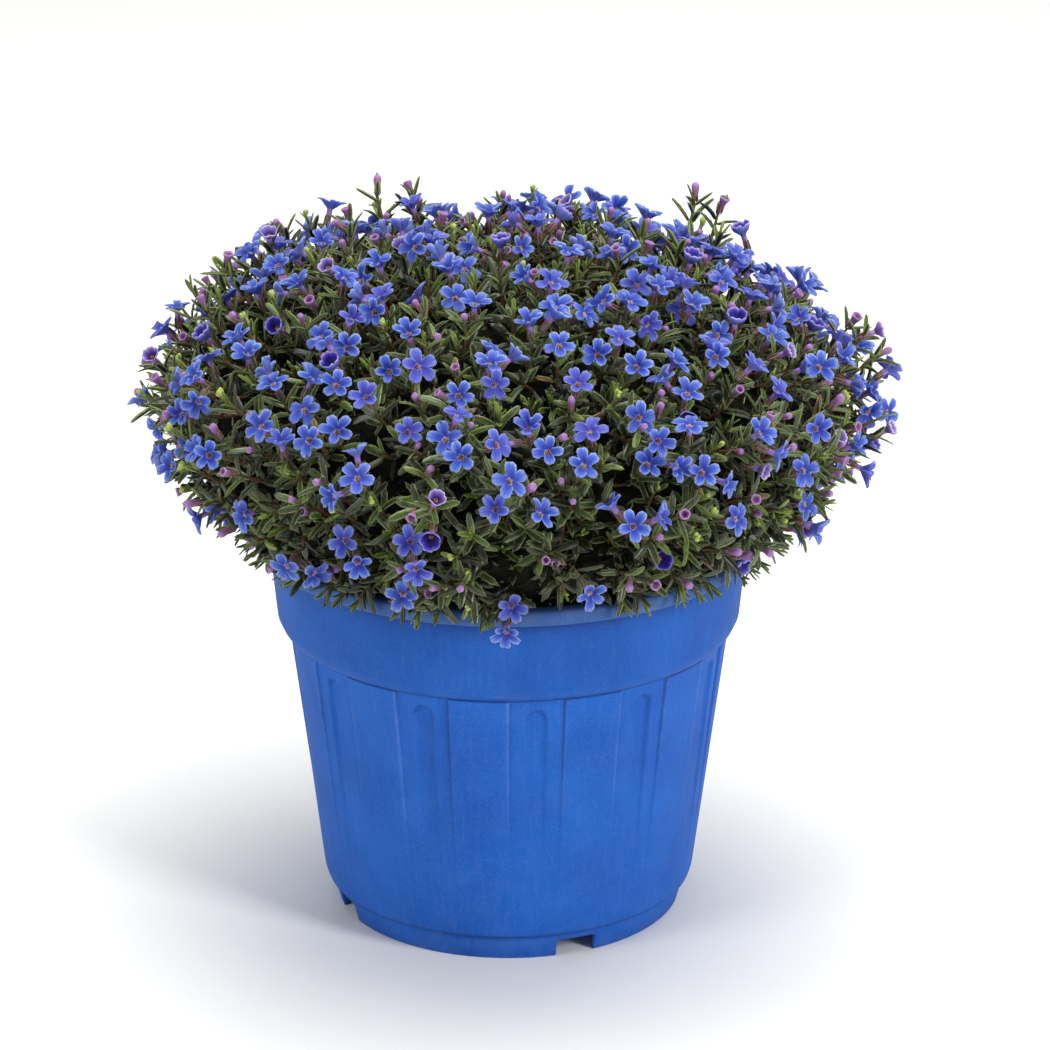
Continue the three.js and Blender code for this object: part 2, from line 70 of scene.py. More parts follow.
def put(tree, kind, inputs=None, stops=None, **settings):
    """Adds a node, sets it, and sets or links its inputs, by their names or places.

    An input takes a value, a colour in hex, a socket, or a node for that node's first output. A
    ramp takes its stops as positions with colours.
    """
    made = tree.nodes.new("ShaderNode" + kind)
    for name, value in settings.items():
        setattr(made, name, value)
    sockets = [socket for socket in made.inputs if socket.enabled]
    names = [socket.name for socket in sockets]
    for name, value in (inputs or {}).items():
        socket = sockets[name if isinstance(name, int) else names.index(name)]
        if isinstance(value, bpy.types.Node):
            value = next(output for output in value.outputs if output.enabled)
        if isinstance(value, bpy.types.NodeSocket):
            tree.links.new(value, socket)
        else:
            socket.default_value = linear(value) if isinstance(value, str) else value
    if stops:
        ramp = made.color_ramp.elements
        ramp.remove(ramp[1])
        first, *others = stops
        ramp[0].position, ramp[0].color = first, linear(stops[first])
        for position in others:
            ramp.new(position).color = linear(stops[position])
    return made


def new_material(name):
    """An empty material and its node tree."""
    material = bpy.data.materials.new(name)
    material.use_nodes = True
    material.node_tree.nodes.clear()
    return material, material.node_tree


def area_light(name, place, aim, width, height, watts):
    """A lit rectangle at a place, which faces its aim."""
    lamp = bpy.data.lights.new(name, "AREA")
    lamp.shape = "RECTANGLE"
    lamp.size = width * MM
    lamp.size_y = height * MM
    lamp.energy = watts
    light = bpy.data.objects.new(name, lamp)
    studio.collection.objects.link(light)
    light.location = Vector(place) * MM
    light.rotation_euler = (Vector(place) - Vector(aim)).to_track_quat("Z", "Y").to_euler()


studio = bpy.context.scene
lens = bpy.data.cameras.new("camera")
lens.sensor_width = SENSOR_WIDTH
lens.lens = FOCAL_PIXELS * SENSOR_WIDTH / PHOTO_PIXELS
camera = bpy.data.objects.new("camera", lens)
studio.collection.objects.link(camera)
camera_way = Vector((0, -math.cos(CAMERA_PITCH), math.sin(CAMERA_PITCH)))
camera.location = (CAMERA_AIM + CAMERA_DISTANCE * camera_way) * MM
camera.rotation_euler = (math.pi / 2 - CAMERA_PITCH, 0, 0)
studio.camera = camera

area_light("right_softbox", (1300, -1100, 900), (0, 0, 120), 450, 700, 21.5)
area_light("left_softbox", (-1400, -1000, 800), (0, 0, 120), 700, 1000, 12.5)
area_light("overhead", (100, 350, 2300), (0, 150, 0), 2200, 2000, 64)

world = bpy.data.worlds.new("studio")
world.use_nodes = True
sky = world.node_tree.nodes["Background"]
sky.inputs["Color"].default_value = linear("#FFFFFF")
sky.inputs["Strength"].default_value = SKY_STRENGTH
studio.world = world
studio.view_settings.view_transform = "Standard"

# Matt board: white card with a slight grey, too rough to mirror the pot.
matt_board, tree = new_material("matt_board")
board = put(tree, "BsdfPrincipled", {"Base Color": "#F3F3F1", "Roughness": 0.9})
put(tree, "OutputMaterial", {"Surface": board})
half = BOARD_SIZE / 2 * MM
table_mesh = bpy.data.meshes.new("table")
table_corners = [(-half, -half, 0), (half, -half, 0), (half, half, 0), (-half, half, 0)]
table_mesh.from_pydata(table_corners, [], [(0, 1, 2, 3)])
table_mesh.materials.append(matt_board)
table = bpy.data.objects.new("table", table_mesh)
studio.collection.objects.link(table)

# Pot: one injection moulding in mid-blue polypropylene. A foot ring with four water notches, a
# tapered wall whose panels and flutes deepen upwards, a wider band and a rolled lip.

FOOT_RADIUS = 58.6
FOOT_TOP_RADIUS = 60.8
FOOT_HEIGHT = 9.2
WALL_LOW_RADIUS = 63.5
WALL_LOW_Z = 12.8
WALL_HIGH_RADIUS = 74.8
BAND_Z = 99.7
BAND_LOW_RADIUS = 77.8
BAND_HIGH_RADIUS = 80.7
LIP_Z = 129.1
POT_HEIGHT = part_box("pot")[1].z / MM
LIP_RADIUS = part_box("pot")[1].x / MM
WALL_THICKNESS = 1.8
PANEL_DEPTH = 1
FLOOR_UNDERSIDE_Z = 7
FLOOR_Z = 9.4
FLOOR_LAP = 2.5
PANEL_PERIOD = 30
PANEL_WIDTH = 15
PANEL_EDGE = 0.5
RELIEF_FOOT_Z = 20
LINE_FOOT_Z, LINE_HEAD_Z = 30, BAND_Z - 5
FLUTE_HALF_WIDTH = 3.5
FLUTE_TOP_Z = 95.6
FLUTE_DEPTH = 1.55
FLUTE_FLOOR = 0.68
EDGE_LINE = 0.28
# Strengths of the painted highlight on the panels' ridges and of the painted shade in their corners
# and round the flutes' rims.
HIGHLIGHT_LEFT, HIGHLIGHT_RIGHT = 0.9, 0.4
SHADE_LEFT, SHADE_RIGHT = 0.25, 0.7
FLUTE_LINE, FLUTE_LINE_WIDTH = 0.85, 0.12
FLUTE_ARCH_SHADE, FLUTE_LEFT_SHADE, FLUTE_RIGHT_SHADE = 0.6, 0.1, 0.26
NOTCHES = 4
FIRST_NOTCH = 22.5
NOTCH_HALF_WIDTH = 6.9
NOTCH_HEIGHT = 6.2
NOTCH_ROUNDING = 1.6
EDGE = 0.35
DRAIN_HOLES = 4
DRAIN_RADIUS = 4
DRAIN_CIRCLE = 38
FLOOR_SIDES, DRAIN_SIDES = 96, 24


def smooth_step(low, high, value):
    share = np.clip((value - low) / (high - low), 0, 1)
    return share * share * (3 - 2 * share)


class Batch:
    """Points, faces, paint and material numbers of one piece, gathered before its mesh."""

    def __init__(self):
        self.points, self.faces, self.paints, self.kinds = [], [], [], []
        self.count = 0

    def add(self, points, faces, paint=(0, 0, 0), kind=0):
        points = np.asarray(points, float).reshape(-1, 3)
        self.points.append(points)
        self.paints.append(np.broadcast_to(np.asarray(paint, float), points.shape))
        for group in faces:
            self.faces.append(np.asarray(group) + self.count)
            self.kinds.append(np.full(len(group), kind))
        self.count += len(points)


def build(name, batch, materials, nodes):
    """Makes the batch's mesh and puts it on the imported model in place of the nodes."""
    sizes = np.concatenate([np.full(len(group), group.shape[1]) for group in batch.faces])
    corners = np.concatenate([group.ravel() for group in batch.faces])
    mesh = bpy.data.meshes.new(name)
    mesh.vertices.add(batch.count)
    mesh.vertices.foreach_set("co", (np.concatenate(batch.points) * MM).ravel())
    mesh.loops.add(len(corners))
    mesh.loops.foreach_set("vertex_index", corners.astype(np.int32))
    mesh.polygons.add(len(sizes))
    mesh.polygons.foreach_set("loop_start", (np.cumsum(sizes) - sizes).astype(np.int32))
    mesh.polygons.foreach_set("material_index", np.concatenate(batch.kinds).astype(np.int32))
    mesh.polygons.foreach_set("use_smooth", np.ones(len(sizes), bool))
    paints = np.concatenate(batch.paints)
    colours = np.hstack([paints, np.ones((len(paints), 1))])
    mesh.color_attributes.new("paint", "FLOAT_COLOR", "POINT")
    mesh.color_attributes["paint"].data.foreach_set("color", colours.ravel())
    mesh.update(calc_edges=True)
    mesh.validate()
    for material in materials:
        mesh.materials.append(material)
    piece = bpy.data.objects.new(name, mesh)
    studio.collection.objects.link(piece)
    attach(piece, "root")
    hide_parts(*nodes)


def lofted(rings, foot=None, head=None):
    """Closed skin over rings of equal counts, with a point at each end, as points and faces."""
    rows, sides = rings.shape[:2]
    index = np.arange(rows * sides).reshape(rows, sides)
    after = np.roll(index, -1, axis=1)
    quads = np.stack([index[:-1], after[:-1], after[1:], index[1:]], -1).reshape(-1, 4)
    low, high = rows * sides, rows * sides + 1
    foot_fan = np.stack([np.full(sides, low), after[0], index[0]], -1)
    head_fan = np.stack([np.full(sides, high), index[-1], after[-1]], -1)
    foot = rings[0].mean(0) if foot is None else foot
    head = rings[-1].mean(0) if head is None else head
    points = np.vstack([rings.reshape(-1, 3), [foot, head]])
    return points, [quads, np.vstack([foot_fan, head_fan])]


def wall_radius(z):
    climb = (z - WALL_LOW_Z) / (BAND_Z - WALL_LOW_Z)
    return WALL_LOW_RADIUS + climb * (WALL_HIGH_RADIUS - WALL_LOW_RADIUS)


def band_radius(z):
    climb = (z - BAND_Z) / (LIP_Z - BAND_Z)
    return BAND_LOW_RADIUS + climb * (BAND_HIGH_RADIUS - BAND_LOW_RADIUS)


def foot_radius(z):
    return FOOT_RADIUS + z / FOOT_HEIGHT * (FOOT_TOP_RADIUS - FOOT_RADIUS)


def relief(angle, z):
    """How far the wall is set back by its panels and their flutes, which fade out downwards."""
    climb = np.clip((z - RELIEF_FOOT_Z) / (BAND_Z - RELIEF_FOOT_Z), 0, 1)
    turn = np.mod(angle, PANEL_PERIOD)
    left = smooth_step(0, PANEL_EDGE, turn)
    right = 1 - smooth_step(PANEL_WIDTH - PANEL_EDGE, PANEL_WIDTH, turn)
    across = np.radians(turn - PANEL_WIDTH / 2) * wall_radius(z)
    above = np.maximum(0, z - (FLUTE_TOP_Z - FLUTE_HALF_WIDTH))
    reach = np.hypot(across, above) / FLUTE_HALF_WIDTH
    flute = FLUTE_DEPTH * (1 - smooth_step(FLUTE_FLOOR, 1, reach))
    return climb * (PANEL_DEPTH * left * right + flute)


def painted_relief_light(angle, z):
    """Painted highlight on panel ridges, painted shade in panel corners and round flute rims."""
    climb = smooth_step(LINE_FOOT_Z, LINE_HEAD_Z, z) * (z < BAND_Z)
    turn = np.mod(angle + PANEL_EDGE, PANEL_PERIOD) - PANEL_EDGE

    def line(place):
        return np.exp(-(((turn - place) / EDGE_LINE) ** 2))

    across = np.radians(turn - PANEL_WIDTH / 2) * wall_radius(z) / FLUTE_HALF_WIDTH
    above = np.maximum(0, z - (FLUTE_TOP_Z - FLUTE_HALF_WIDTH)) / FLUTE_HALF_WIDTH
    rim = np.exp(-(((np.hypot(across, above) - FLUTE_LINE) / FLUTE_LINE_WIDTH) ** 2))
    side = np.where(across > 0, FLUTE_RIGHT_SHADE, FLUTE_LEFT_SHADE) * climb
    arch_shade = np.where(above > 0, FLUTE_ARCH_SHADE, side) * rim
    # Pale lines are painted highlight on the ridges, most on the left ones, which face the right
    # softbox; the dark lines are painted shade.
    worn = climb * (HIGHLIGHT_LEFT * line(0) + HIGHLIGHT_RIGHT * line(PANEL_WIDTH))
    corners = SHADE_LEFT * line(PANEL_EDGE) + SHADE_RIGHT * line(PANEL_WIDTH - PANEL_EDGE)
    return np.stack([worn, np.maximum(climb * corners, arch_shade), np.zeros_like(worn)], -1)


def notch_height(angle):
    """The height of the pot's lower edge: zero, or up to the notch's top with round corners."""
    period = 360 / NOTCHES
    turn = np.mod(angle - FIRST_NOTCH + period / 2, period) - period / 2
    across = np.abs(np.radians(turn)) * FOOT_RADIUS
    into = np.clip(across - (NOTCH_HALF_WIDTH - NOTCH_ROUNDING), 0, NOTCH_ROUNDING)
    drop = NOTCH_ROUNDING - np.sqrt(NOTCH_ROUNDING**2 - into**2)
    return np.where(across < NOTCH_HALF_WIDTH, NOTCH_HEIGHT - drop, 0)


def pot_angles():
    """Where the pot's columns of points stand: closer at panel edges, flutes and notches."""
    left = [0, 0.25, 0.5, 0.8, 1.6, 3.0, 4.1, 4.6, 5.1, 5.7, 6.5]
    right = [PANEL_WIDTH - turn for turn in left]
    raised = [-0.35, 15.35, 17, 19.5, 22, 24.5, 27, 28.8]
    period = np.array(sorted(left + [PANEL_WIDTH / 2] + right + raised))
    angles = [period + PANEL_PERIOD * i for i in range(360 // PANEL_PERIOD)]
    offsets = NOTCH_HALF_WIDTH - np.array([-0.02, 0.02, 0.15, 0.4, 0.8, NOTCH_ROUNDING])
    turns = np.degrees(offsets / FOOT_RADIUS)
    for i in range(NOTCHES):
        middle = FIRST_NOTCH + i * 360 / NOTCHES
        angles += [middle - turns, middle + turns]
    return np.unique(np.round(np.mod(np.concatenate(angles), 360), 4))


def pot_rows(angle):
    """The pot's section as rows of (radius, height), from its foot up and back down inside."""
    edge_z = notch_height(angle)
    level = np.ones_like(angle)
    rows = [
        (foot_radius(edge_z) - EDGE, edge_z),
        (foot_radius(edge_z), edge_z + EDGE),
        (foot_radius((edge_z + FOOT_HEIGHT) / 2), (edge_z + FOOT_HEIGHT) / 2),
        (foot_radius(FOOT_HEIGHT) * level, (FOOT_HEIGHT - 0.2) * level),
    ]
    wall_foot = [(60.6, 9.25), (61.7, 9.1), (62.4, 9.4), (62.8, 10.4), (63.2, 11.6)]
    rows += [(radius * level, z * level) for radius, z in wall_foot]
    heights = [*np.linspace(WALL_LOW_Z, 88, 16), *np.linspace(89, 97, 13), 98, 99, 99.5]
    rows += [(wall_radius(z) - relief(angle, z), z * level) for z in heights]
    band_foot = [(74.5, 99.7), (75.1, 99.9), (76.1, 100.6), (77, 101.7), (77.6, 103)]
    rows += [(radius * level, z * level) for radius, z in band_foot]
    rows += [(band_radius(z) * level, z * level) for z in np.linspace(104.5, 128, 7)]
    lip = [(80.75, 128.8), (81.2, 129.1), (83.6, 129.2), (84.5, 129.5), (84.9, 130.2)]
    lip += [(LIP_RADIUS, 131.4), (LIP_RADIUS, 132.9), (84.7, 133.9), (84.1, 134.35)]
    lip += [(83.3, POT_HEIGHT), (80.4, POT_HEIGHT), (79.5, 134.2), (79.1, 133.5), (78.9, 132)]
    rows += [(radius * level, z * level) for radius, z in lip]
    inset = WALL_THICKNESS + PANEL_DEPTH
    step_z = BAND_Z + WALL_THICKNESS
    inside = [
        (band_radius(120) - WALL_THICKNESS, 120),
        (band_radius(step_z) - WALL_THICKNESS, step_z + 0.6),
        (WALL_HIGH_RADIUS - inset, step_z - 0.6),
        (wall_radius(FLOOR_Z) - inset, FLOOR_Z),
        (FOOT_RADIUS - FLOOR_LAP, FLOOR_Z),
        (FOOT_RADIUS - FLOOR_LAP, FLOOR_UNDERSIDE_Z),
        (foot_radius(FLOOR_UNDERSIDE_Z) - WALL_THICKNESS, FLOOR_UNDERSIDE_Z),
    ]
    rows += [(radius * level, z * level) for radius, z in inside]
    rows.append((foot_radius(edge_z) - WALL_THICKNESS, edge_z + EDGE))
    rows.append((foot_radius(edge_z) - WALL_THICKNESS + EDGE, edge_z))
    return rows


def pot_floor():
    """The pot's floor: a disc that laps into the wall, with its drain holes."""
    shape = bmesh.new()
    circles = [(0, 0, FOOT_RADIUS - FLOOR_LAP / 2, FLOOR_SIDES)]
    for i in range(DRAIN_HOLES):
        angle = 2 * math.pi * i / DRAIN_HOLES
        x, y = DRAIN_CIRCLE * math.sin(angle), -DRAIN_CIRCLE * math.cos(angle)
        circles.append((x, y, DRAIN_RADIUS, DRAIN_SIDES))
    for x, y, radius, sides in circles:
        ring = []
        for i in range(sides):
            turn = 2 * math.pi * i / sides
            corner = (x + radius * math.cos(turn), y + radius * math.sin(turn), FLOOR_UNDERSIDE_Z)
            ring.append(shape.verts.new(corner))
        for i in range(sides):
            shape.edges.new((ring[i - 1], ring[i]))
    bmesh.ops.triangle_fill(shape, use_beauty=True, use_dissolve=False, edges=shape.edges)
    lifted = bmesh.ops.extrude_face_region(shape, geom=shape.faces[:])
    tops = [v for v in lifted["geom"] if isinstance(v, bmesh.types.BMVert)]
    for vertex in tops:
        vertex.co.z = FLOOR_Z
    bmesh.ops.recalc_face_normals(shape, faces=shape.faces)
    bmesh.ops.triangulate(shape, faces=shape.faces)
    shape.verts.index_update()
    points = np.array([v.co for v in shape.verts])
    faces = np.array([[v.index for v in f.verts] for f in shape.faces])
    shape.free()
    return points, [faces]


def per(size):
    """The scale of a pattern whose features measure this many millimetres."""
    return 1 / (size * MM)


# Moulded polypropylene: an even satin skin, a little cloudy where the flow met, with handling scuffs
# and dust that pale the lip and the edges. Painted highlight and painted shade bring out the panels,
# and painted shade darkens the creases, the band and the lip's top.
polypropylene, tree = new_material("moulded_polypropylene")
where = put(tree, "TexCoord").outputs["Object"]
paint = put(tree, "Attribute", attribute_name="paint")
# The paint holds painted highlight for the panels' ridges, then painted shade for their corners and
# flutes.
highlight_paint, shade_paint, _ = put(tree, "SeparateColor", {"Color": paint}).outputs
flow = put(tree, "TexNoise", {"Vector": where, "Scale": per(26), "Detail": 3})
blues = put(tree, "ValToRGB", {"Fac": flow}, {0.3: "#104EA5", 0.7: "#175BB5"})
stretched = put(tree, "Mapping", {"Vector": where, "Scale": (1, 1, 0.04)})
streaks = put(tree, "TexNoise", {"Vector": stretched, "Scale": per(1.6), "Detail": 4})
streaky = put(tree, "MapRange", {"Value": streaks, "From Min": 0.48, "From Max": 0.72, "To Max": 0.12})
streaked = put(tree, "Mix", {"Factor": streaky, "A": blues, "B": "#4273CC"}, data_type="RGBA")
scuffs = put(tree, "TexNoise", {"Vector": where, "Scale": per(9), "Detail": 9, "Roughness": 0.72})
height = put(tree, "SeparateXYZ", {"Vector": where}).outputs["Z"]
up_wall = put(tree, "MapRange", {"Value": height, "From Max": POT_HEIGHT * MM})
wear = put(tree, "ValToRGB", {"Fac": up_wall}, {
    0: "#B0B0B0", 0.1: "#747474", 0.74: "#646464", 0.752: "#C0C0C0", 0.775: "#585858",
    0.95: "#686868", 0.965: "#FFFFFF",
})
scuffy = put(tree, "MapRange", {"Value": scuffs, "From Min": 0.42, "From Max": 0.75, "To Max": 0.6})
worn = put(tree, "Math", {0: scuffy, 1: wear}, operation="MULTIPLY")
scuffed = put(tree, "Mix", {"Factor": worn, "A": streaked, "B": "#7088B8"}, data_type="RGBA")
# The lip's top is greyed like dust and darkened as painted shade under the leaves.
lip_greying_and_shade = put(tree, "MapRange", {"Value": up_wall, "From Min": 0.952, "From Max": 0.966, "To Max": 0.6})
lip_greyed_and_shaded = put(tree, "Mix", {"Factor": lip_greying_and_shade, "A": scuffed, "B": "#40577C"}, data_type="RGBA")
pigment = put(tree, "TexNoise", {"Vector": where, "Scale": per(0.8), "Detail": 3})
specks = put(tree, "MapRange", {"Value": pigment, "From Min": 0.48, "From Max": 0.8, "To Max": 0.09})
dusted = put(tree, "Mix", {"Factor": specks, "A": lip_greyed_and_shaded, "B": "#7FA0E4"}, data_type="RGBA")
# Grime and painted shade sit in the creases over the foot ring and under the band. Painted shade
# darkens the band as the leaves' shadow, the band under the lip, and the panels' corners. The panels'
# ridges get painted highlights.
grime_and_shade_by_height = put(tree, "ValToRGB", {"Fac": up_wall}, {
    0.063: "#000000", 0.067: "#D0D0D0", 0.072: "#D0D0D0", 0.077: "#000000", 0.735: "#000000",
    0.7385: "#FFFFFF", 0.7435: "#FFFFFF", 0.747: "#8C8C8C", 0.895: "#8C8C8C", 0.93: "#B8B8B8",
    0.95: "#EEEEEE", 0.9605: "#F0F0F0", 0.964: "#000000",
})
patchy = {"Value": scuffs, "From Min": 0.36, "From Max": 0.64, "To Min": 0.06, "To Max": 0.42}
# Painted highlight along the panels' ridges, in patches.
highlights = put(tree, "Math", {0: highlight_paint, 1: put(tree, "MapRange", patchy)}, operation="MULTIPLY")
highlighted = put(tree, "Mix", {"Factor": highlights, "A": dusted, "B": "#7797D8"}, data_type="RGBA")
grime_and_shade = put(tree, "Math", {0: grime_and_shade_by_height, 1: shade_paint}, operation="MAXIMUM")
grime_and_shade_share = put(tree, "Math", {0: grime_and_shade, 1: 0.7}, operation="MULTIPLY")
grimed_and_shaded = put(tree, "Mix", {"Factor": grime_and_shade_share, "A": highlighted, "B": "#0B2C66"}, data_type="RGBA")
dulled = {"Value": scuffs, "From Min": 0.35, "From Max": 0.7, "To Min": 0.58, "To Max": 0.76}
grain = put(tree, "TexNoise", {"Vector": where, "Scale": per(0.8), "Detail": 4})
plastic = put(tree, "BsdfPrincipled", {
    "Base Color": grimed_and_shaded,
    "Roughness": put(tree, "MapRange", dulled),
    "Normal": put(tree, "Bump", {"Height": grain, "Strength": 0.25, "Distance": 0.12 * MM}),
    "IOR": 1.49,
    "Specular IOR Level": 0.18,
})
put(tree, "OutputMaterial", {"Surface": plastic})

pot = Batch()
pot_turns = pot_angles()
section = pot_rows(pot_turns)
to_right, to_front = np.sin(np.radians(pot_turns)), np.cos(np.radians(pot_turns))
grid = np.stack([np.stack([r * to_right, -r * to_front, z], -1) for r, z in section])
index = np.arange(grid.shape[0] * grid.shape[1]).reshape(grid.shape[:2])
after, above = np.roll(index, -1, 1), np.roll(index, -1, 0)
wall_faces = np.stack([index, after, np.roll(after, -1, 0), above], -1).reshape(-1, 4)
pot_paint = [painted_relief_light(pot_turns, z) for _, z in section]
pot.add(grid, [wall_faces], np.reshape(pot_paint, (-1, 3)))
pot.add(*pot_floor())
build("pot_moulding", pot, [polypropylene], ["pot"])

# Soil: potting mix of moist peat, with crumbs, chips of bark and a few pale grains of perlite,
# pressed in by hand to just under the lip. The leaves hide most of it.

SOIL_COLUMNS = 120
SOIL_RINGS = 36
SOIL_RIM_RADIUS = 76
SOIL_SIDE_Z = 119
SOIL_DROP = 4
SOIL_LUMP_SIZE = 7
SOIL_ROUGHNESS = 2.2
SOIL_TINT = 0.15
CRUMBS = 260
CRUMB_REACH = 74
CRUMB_SIZE, CRUMB_GROWTH = 0.6, 1.6
CRUMB_TINTS = (0.1, 0.35, 0.6, 0.97)
CRUMB_SHARES = (0.45, 0.3, 0.2, 0.05)
CLEARANCE = 0.35

# Moist peat: dark and dull, mottled by its fibres, with paler chips and grains.
peat, tree = new_material("moist_peat")
where = put(tree, "TexCoord").outputs["Object"]
paint = put(tree, "Attribute", attribute_name="paint")
crumb_tint, _, _ = put(tree, "SeparateColor", {"Color": paint}).outputs
crumb_browns = {0: "#1E1611", 0.4: "#3A2A1D", 0.7: "#5C432B", 0.97: "#D9D6CC"}
peats = put(tree, "ValToRGB", {"Fac": crumb_tint}, crumb_browns)
fibres = put(tree, "TexNoise", {"Vector": where, "Scale": per(1.5), "Detail": 8})
mottled = put(tree, "Mix", {"Factor": fibres, "A": peats, "B": "#15100C"}, data_type="RGBA")
crumble = put(tree, "Bump", {"Height": fibres, "Distance": 0.6 * MM})
loam = put(tree, "BsdfPrincipled", {"Base Color": mottled, "Roughness": 0.92, "Normal": crumble})
put(tree, "OutputMaterial", {"Surface": loam})

soil_low, soil_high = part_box("soil")
SOIL_TOP_Z = soil_high.z / MM
SOIL_EDGE_Z = SOIL_TOP_Z - SOIL_DROP
SOIL_FOOT_Z = soil_low.z / MM


def soil_height(radius, x, y):
    """The soil is a low dome with lumps, and stays inside its solid."""
    dome = SOIL_EDGE_Z + (SOIL_DROP - 1.5) * (1 - (radius / SOIL_RIM_RADIUS) ** 2)
    lumps = noise.fractal(Vector((x / SOIL_LUMP_SIZE, y / SOIL_LUMP_SIZE, 0)), 1, 2, 4)
    return min(SOIL_TOP_Z, dome + SOIL_ROUGHNESS * lumps)


soil = Batch()
inset = WALL_THICKNESS + PANEL_DEPTH + CLEARANCE
step_z = BAND_Z + WALL_THICKNESS + CLEARANCE
turns = np.linspace(0, 2 * math.pi, SOIL_COLUMNS, endpoint=False)
side_rows = [
    (wall_radius(FLOOR_Z) - inset, SOIL_FOOT_Z),
    (WALL_HIGH_RADIUS - inset, step_z),
    (band_radius(step_z) - WALL_THICKNESS - CLEARANCE, step_z),
    (band_radius(SOIL_SIDE_Z) - WALL_THICKNESS - CLEARANCE, SOIL_SIDE_Z),
]
rings = [
    np.stack([radius * np.cos(turns), radius * np.sin(turns), np.full(SOIL_COLUMNS, z)], -1)
    for radius, z in side_rows
]
for radius in np.linspace(SOIL_RIM_RADIUS, 4, SOIL_RINGS):
    xs, ys = radius * np.cos(turns), radius * np.sin(turns)
    zs = [soil_height(radius, x, y) for x, y in zip(xs, ys)]
    rings.append(np.stack([xs, ys, zs], -1))
soil.add(*lofted(np.array(rings)), paint=(SOIL_TINT, 0, 0))

draws = np.random.default_rng(11)
lump = bmesh.new()
bmesh.ops.create_icosphere(lump, subdivisions=1, radius=1)
lump.verts.index_update()
lump_points = np.array([v.co for v in lump.verts])
lump_faces = np.array([[v.index for v in f.verts] for f in lump.faces])
lump.free()
for _ in range(CRUMBS):
    radius, turn = CRUMB_REACH * math.sqrt(draws.random()), 2 * math.pi * draws.random()
    x, y = radius * math.cos(turn), radius * math.sin(turn)
    size = CRUMB_SIZE + CRUMB_GROWTH * draws.random() ** 2
    stretch = np.array([1 + draws.random(), 0.8, 0.45 + 0.3 * draws.random()]) * size
    spin = 2 * math.pi * draws.random()
    wobble = 1 + 0.25 * (draws.random((len(lump_points), 1)) - 0.5)
    crumb = lump_points * wobble * stretch
    turned_x = crumb[:, 0] * math.cos(spin) - crumb[:, 1] * math.sin(spin)
    turned_y = crumb[:, 0] * math.sin(spin) + crumb[:, 1] * math.cos(spin)
    z = min(SOIL_TOP_Z - stretch[2], soil_height(radius, x, y) + 0.3 * size)
    tint = CRUMB_TINTS[draws.choice(len(CRUMB_TINTS), p=CRUMB_SHARES)]
    crumb = np.stack([turned_x + x, turned_y + y, crumb[:, 2] + z], -1)
    soil.add(crumb, [lump_faces], (tint, 0, 0))
build("potting_mix", soil, [peat], ["soil"])

# Bush: a dome of many shoots that grew from one crown, a point in the soil. Its branches, shoots
# and main blooms get their places here, by the rule that laid out the solids.

BUSH_RADIUS = 122
BUSH_WIDEST_Z = 179
BUSH_RISE = 54
BUSH_FALL = 60
LOWEST_ANGLE = math.radians(130)
CROWN = np.array([0, 0, 118.0])
CORE_DEPTH = 24
GOLDEN_ANGLE = math.pi * (3 - math.sqrt(5))
AREA_STEPS = 256
BRANCHES = sum(name.startswith("branch_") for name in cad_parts)
CROWN_RADIUS = 42
SHOOTS = 148
SHOOT_RADIUS = 1.7
SHOOT_ROOT = 8
SHOOT_PULL = 0.38
TIP_SCATTER = 8
MAP_SCATTER = 0.03
FORK_LENGTH = 3.5
OUTWARD_PULL = 0.6
UPWARD_PULL = 0.25
STEEP = 0.85
PETALS = 5
BLOOM_RADIUS = 6.4
SIDE_BLOOM_SHARES = (0.84, 0.98)
FUNNEL_DEPTH = 3.8
PEDICEL_RADIUS = 1
SIDE_TILT = math.radians(56)
SIDE_LENGTH = 12
SIDE_BEND = math.radians(9)
SIDE_ATTEMPTS = 9
BUD_RADIUS = 1.4
BUD_LENGTH = 5.5
SKIRT_ANGLE = math.radians(104)
UPPER_BLOOM_STEPS = (0.1, 0.44, 0.8)
SKIRT_BLOOM_STEPS = (0.36, 0.8, 1)
CELL = 8
TUBE_BALL_RADIUS = 1.6
LOBE_BALLS = ((0.45, 2), (0.8, 1.5))
LOWEST_FACING = -0.3
UP = np.array([0, 0, 1.0])
FRONT = np.array([0, -1.0, 0])


def unit(vector):
    return vector / np.linalg.norm(vector)


def reference_for(way):
    """A fixed direction that is well off the given one."""
    return UP if abs(way[2]) < STEEP else FRONT


def cross_ways(axis, reference):
    """Two directions square to the axis and to each other."""
    side = unit(np.cross(reference, axis))
    return side, np.cross(axis, side)


def leaning(axis, spin, tilt, reference):
    """The axis, leant by the tilt to the side that the spin gives."""
    side, front = cross_ways(axis, reference)
    across = side * math.cos(spin) + front * math.sin(spin)
    return axis * math.cos(tilt) + across * math.sin(tilt)


def ring_about(centre, axis, turns, radius, reference):
    side, front = cross_ways(axis, reference)
    return [centre + radius * (side * math.cos(t) + front * math.sin(t)) for t in turns]


def draws_for(number):
    """Draws between 0 and 1, the same each time for the same number."""
    state = 7919 * (number + 1)

    def draw():
        nonlocal state
        state = state * 16807 % 2147483647
        return state / 2147483647

    draw()
    draw()
    return draw


def bush_height(angle):
    return BUSH_RISE if angle < math.pi / 2 else BUSH_FALL


area_above = [0.0]
for i in range(AREA_STEPS):
    angle = (i + 0.5) * LOWEST_ANGLE / AREA_STEPS
    slope = math.hypot(BUSH_RADIUS * math.cos(angle), bush_height(angle) * math.sin(angle))
    area_above.append(area_above[i] + math.sin(angle) * slope)


def angle_at(place):
    """How far down from the bush's top a place on its round, equal-area map lies."""
    wanted = min(1 - 1e-9, abs(place) ** 2) * area_above[AREA_STEPS]
    return float(np.interp(wanted, area_above, np.arange(AREA_STEPS + 1))) * LOWEST_ANGLE / AREA_STEPS


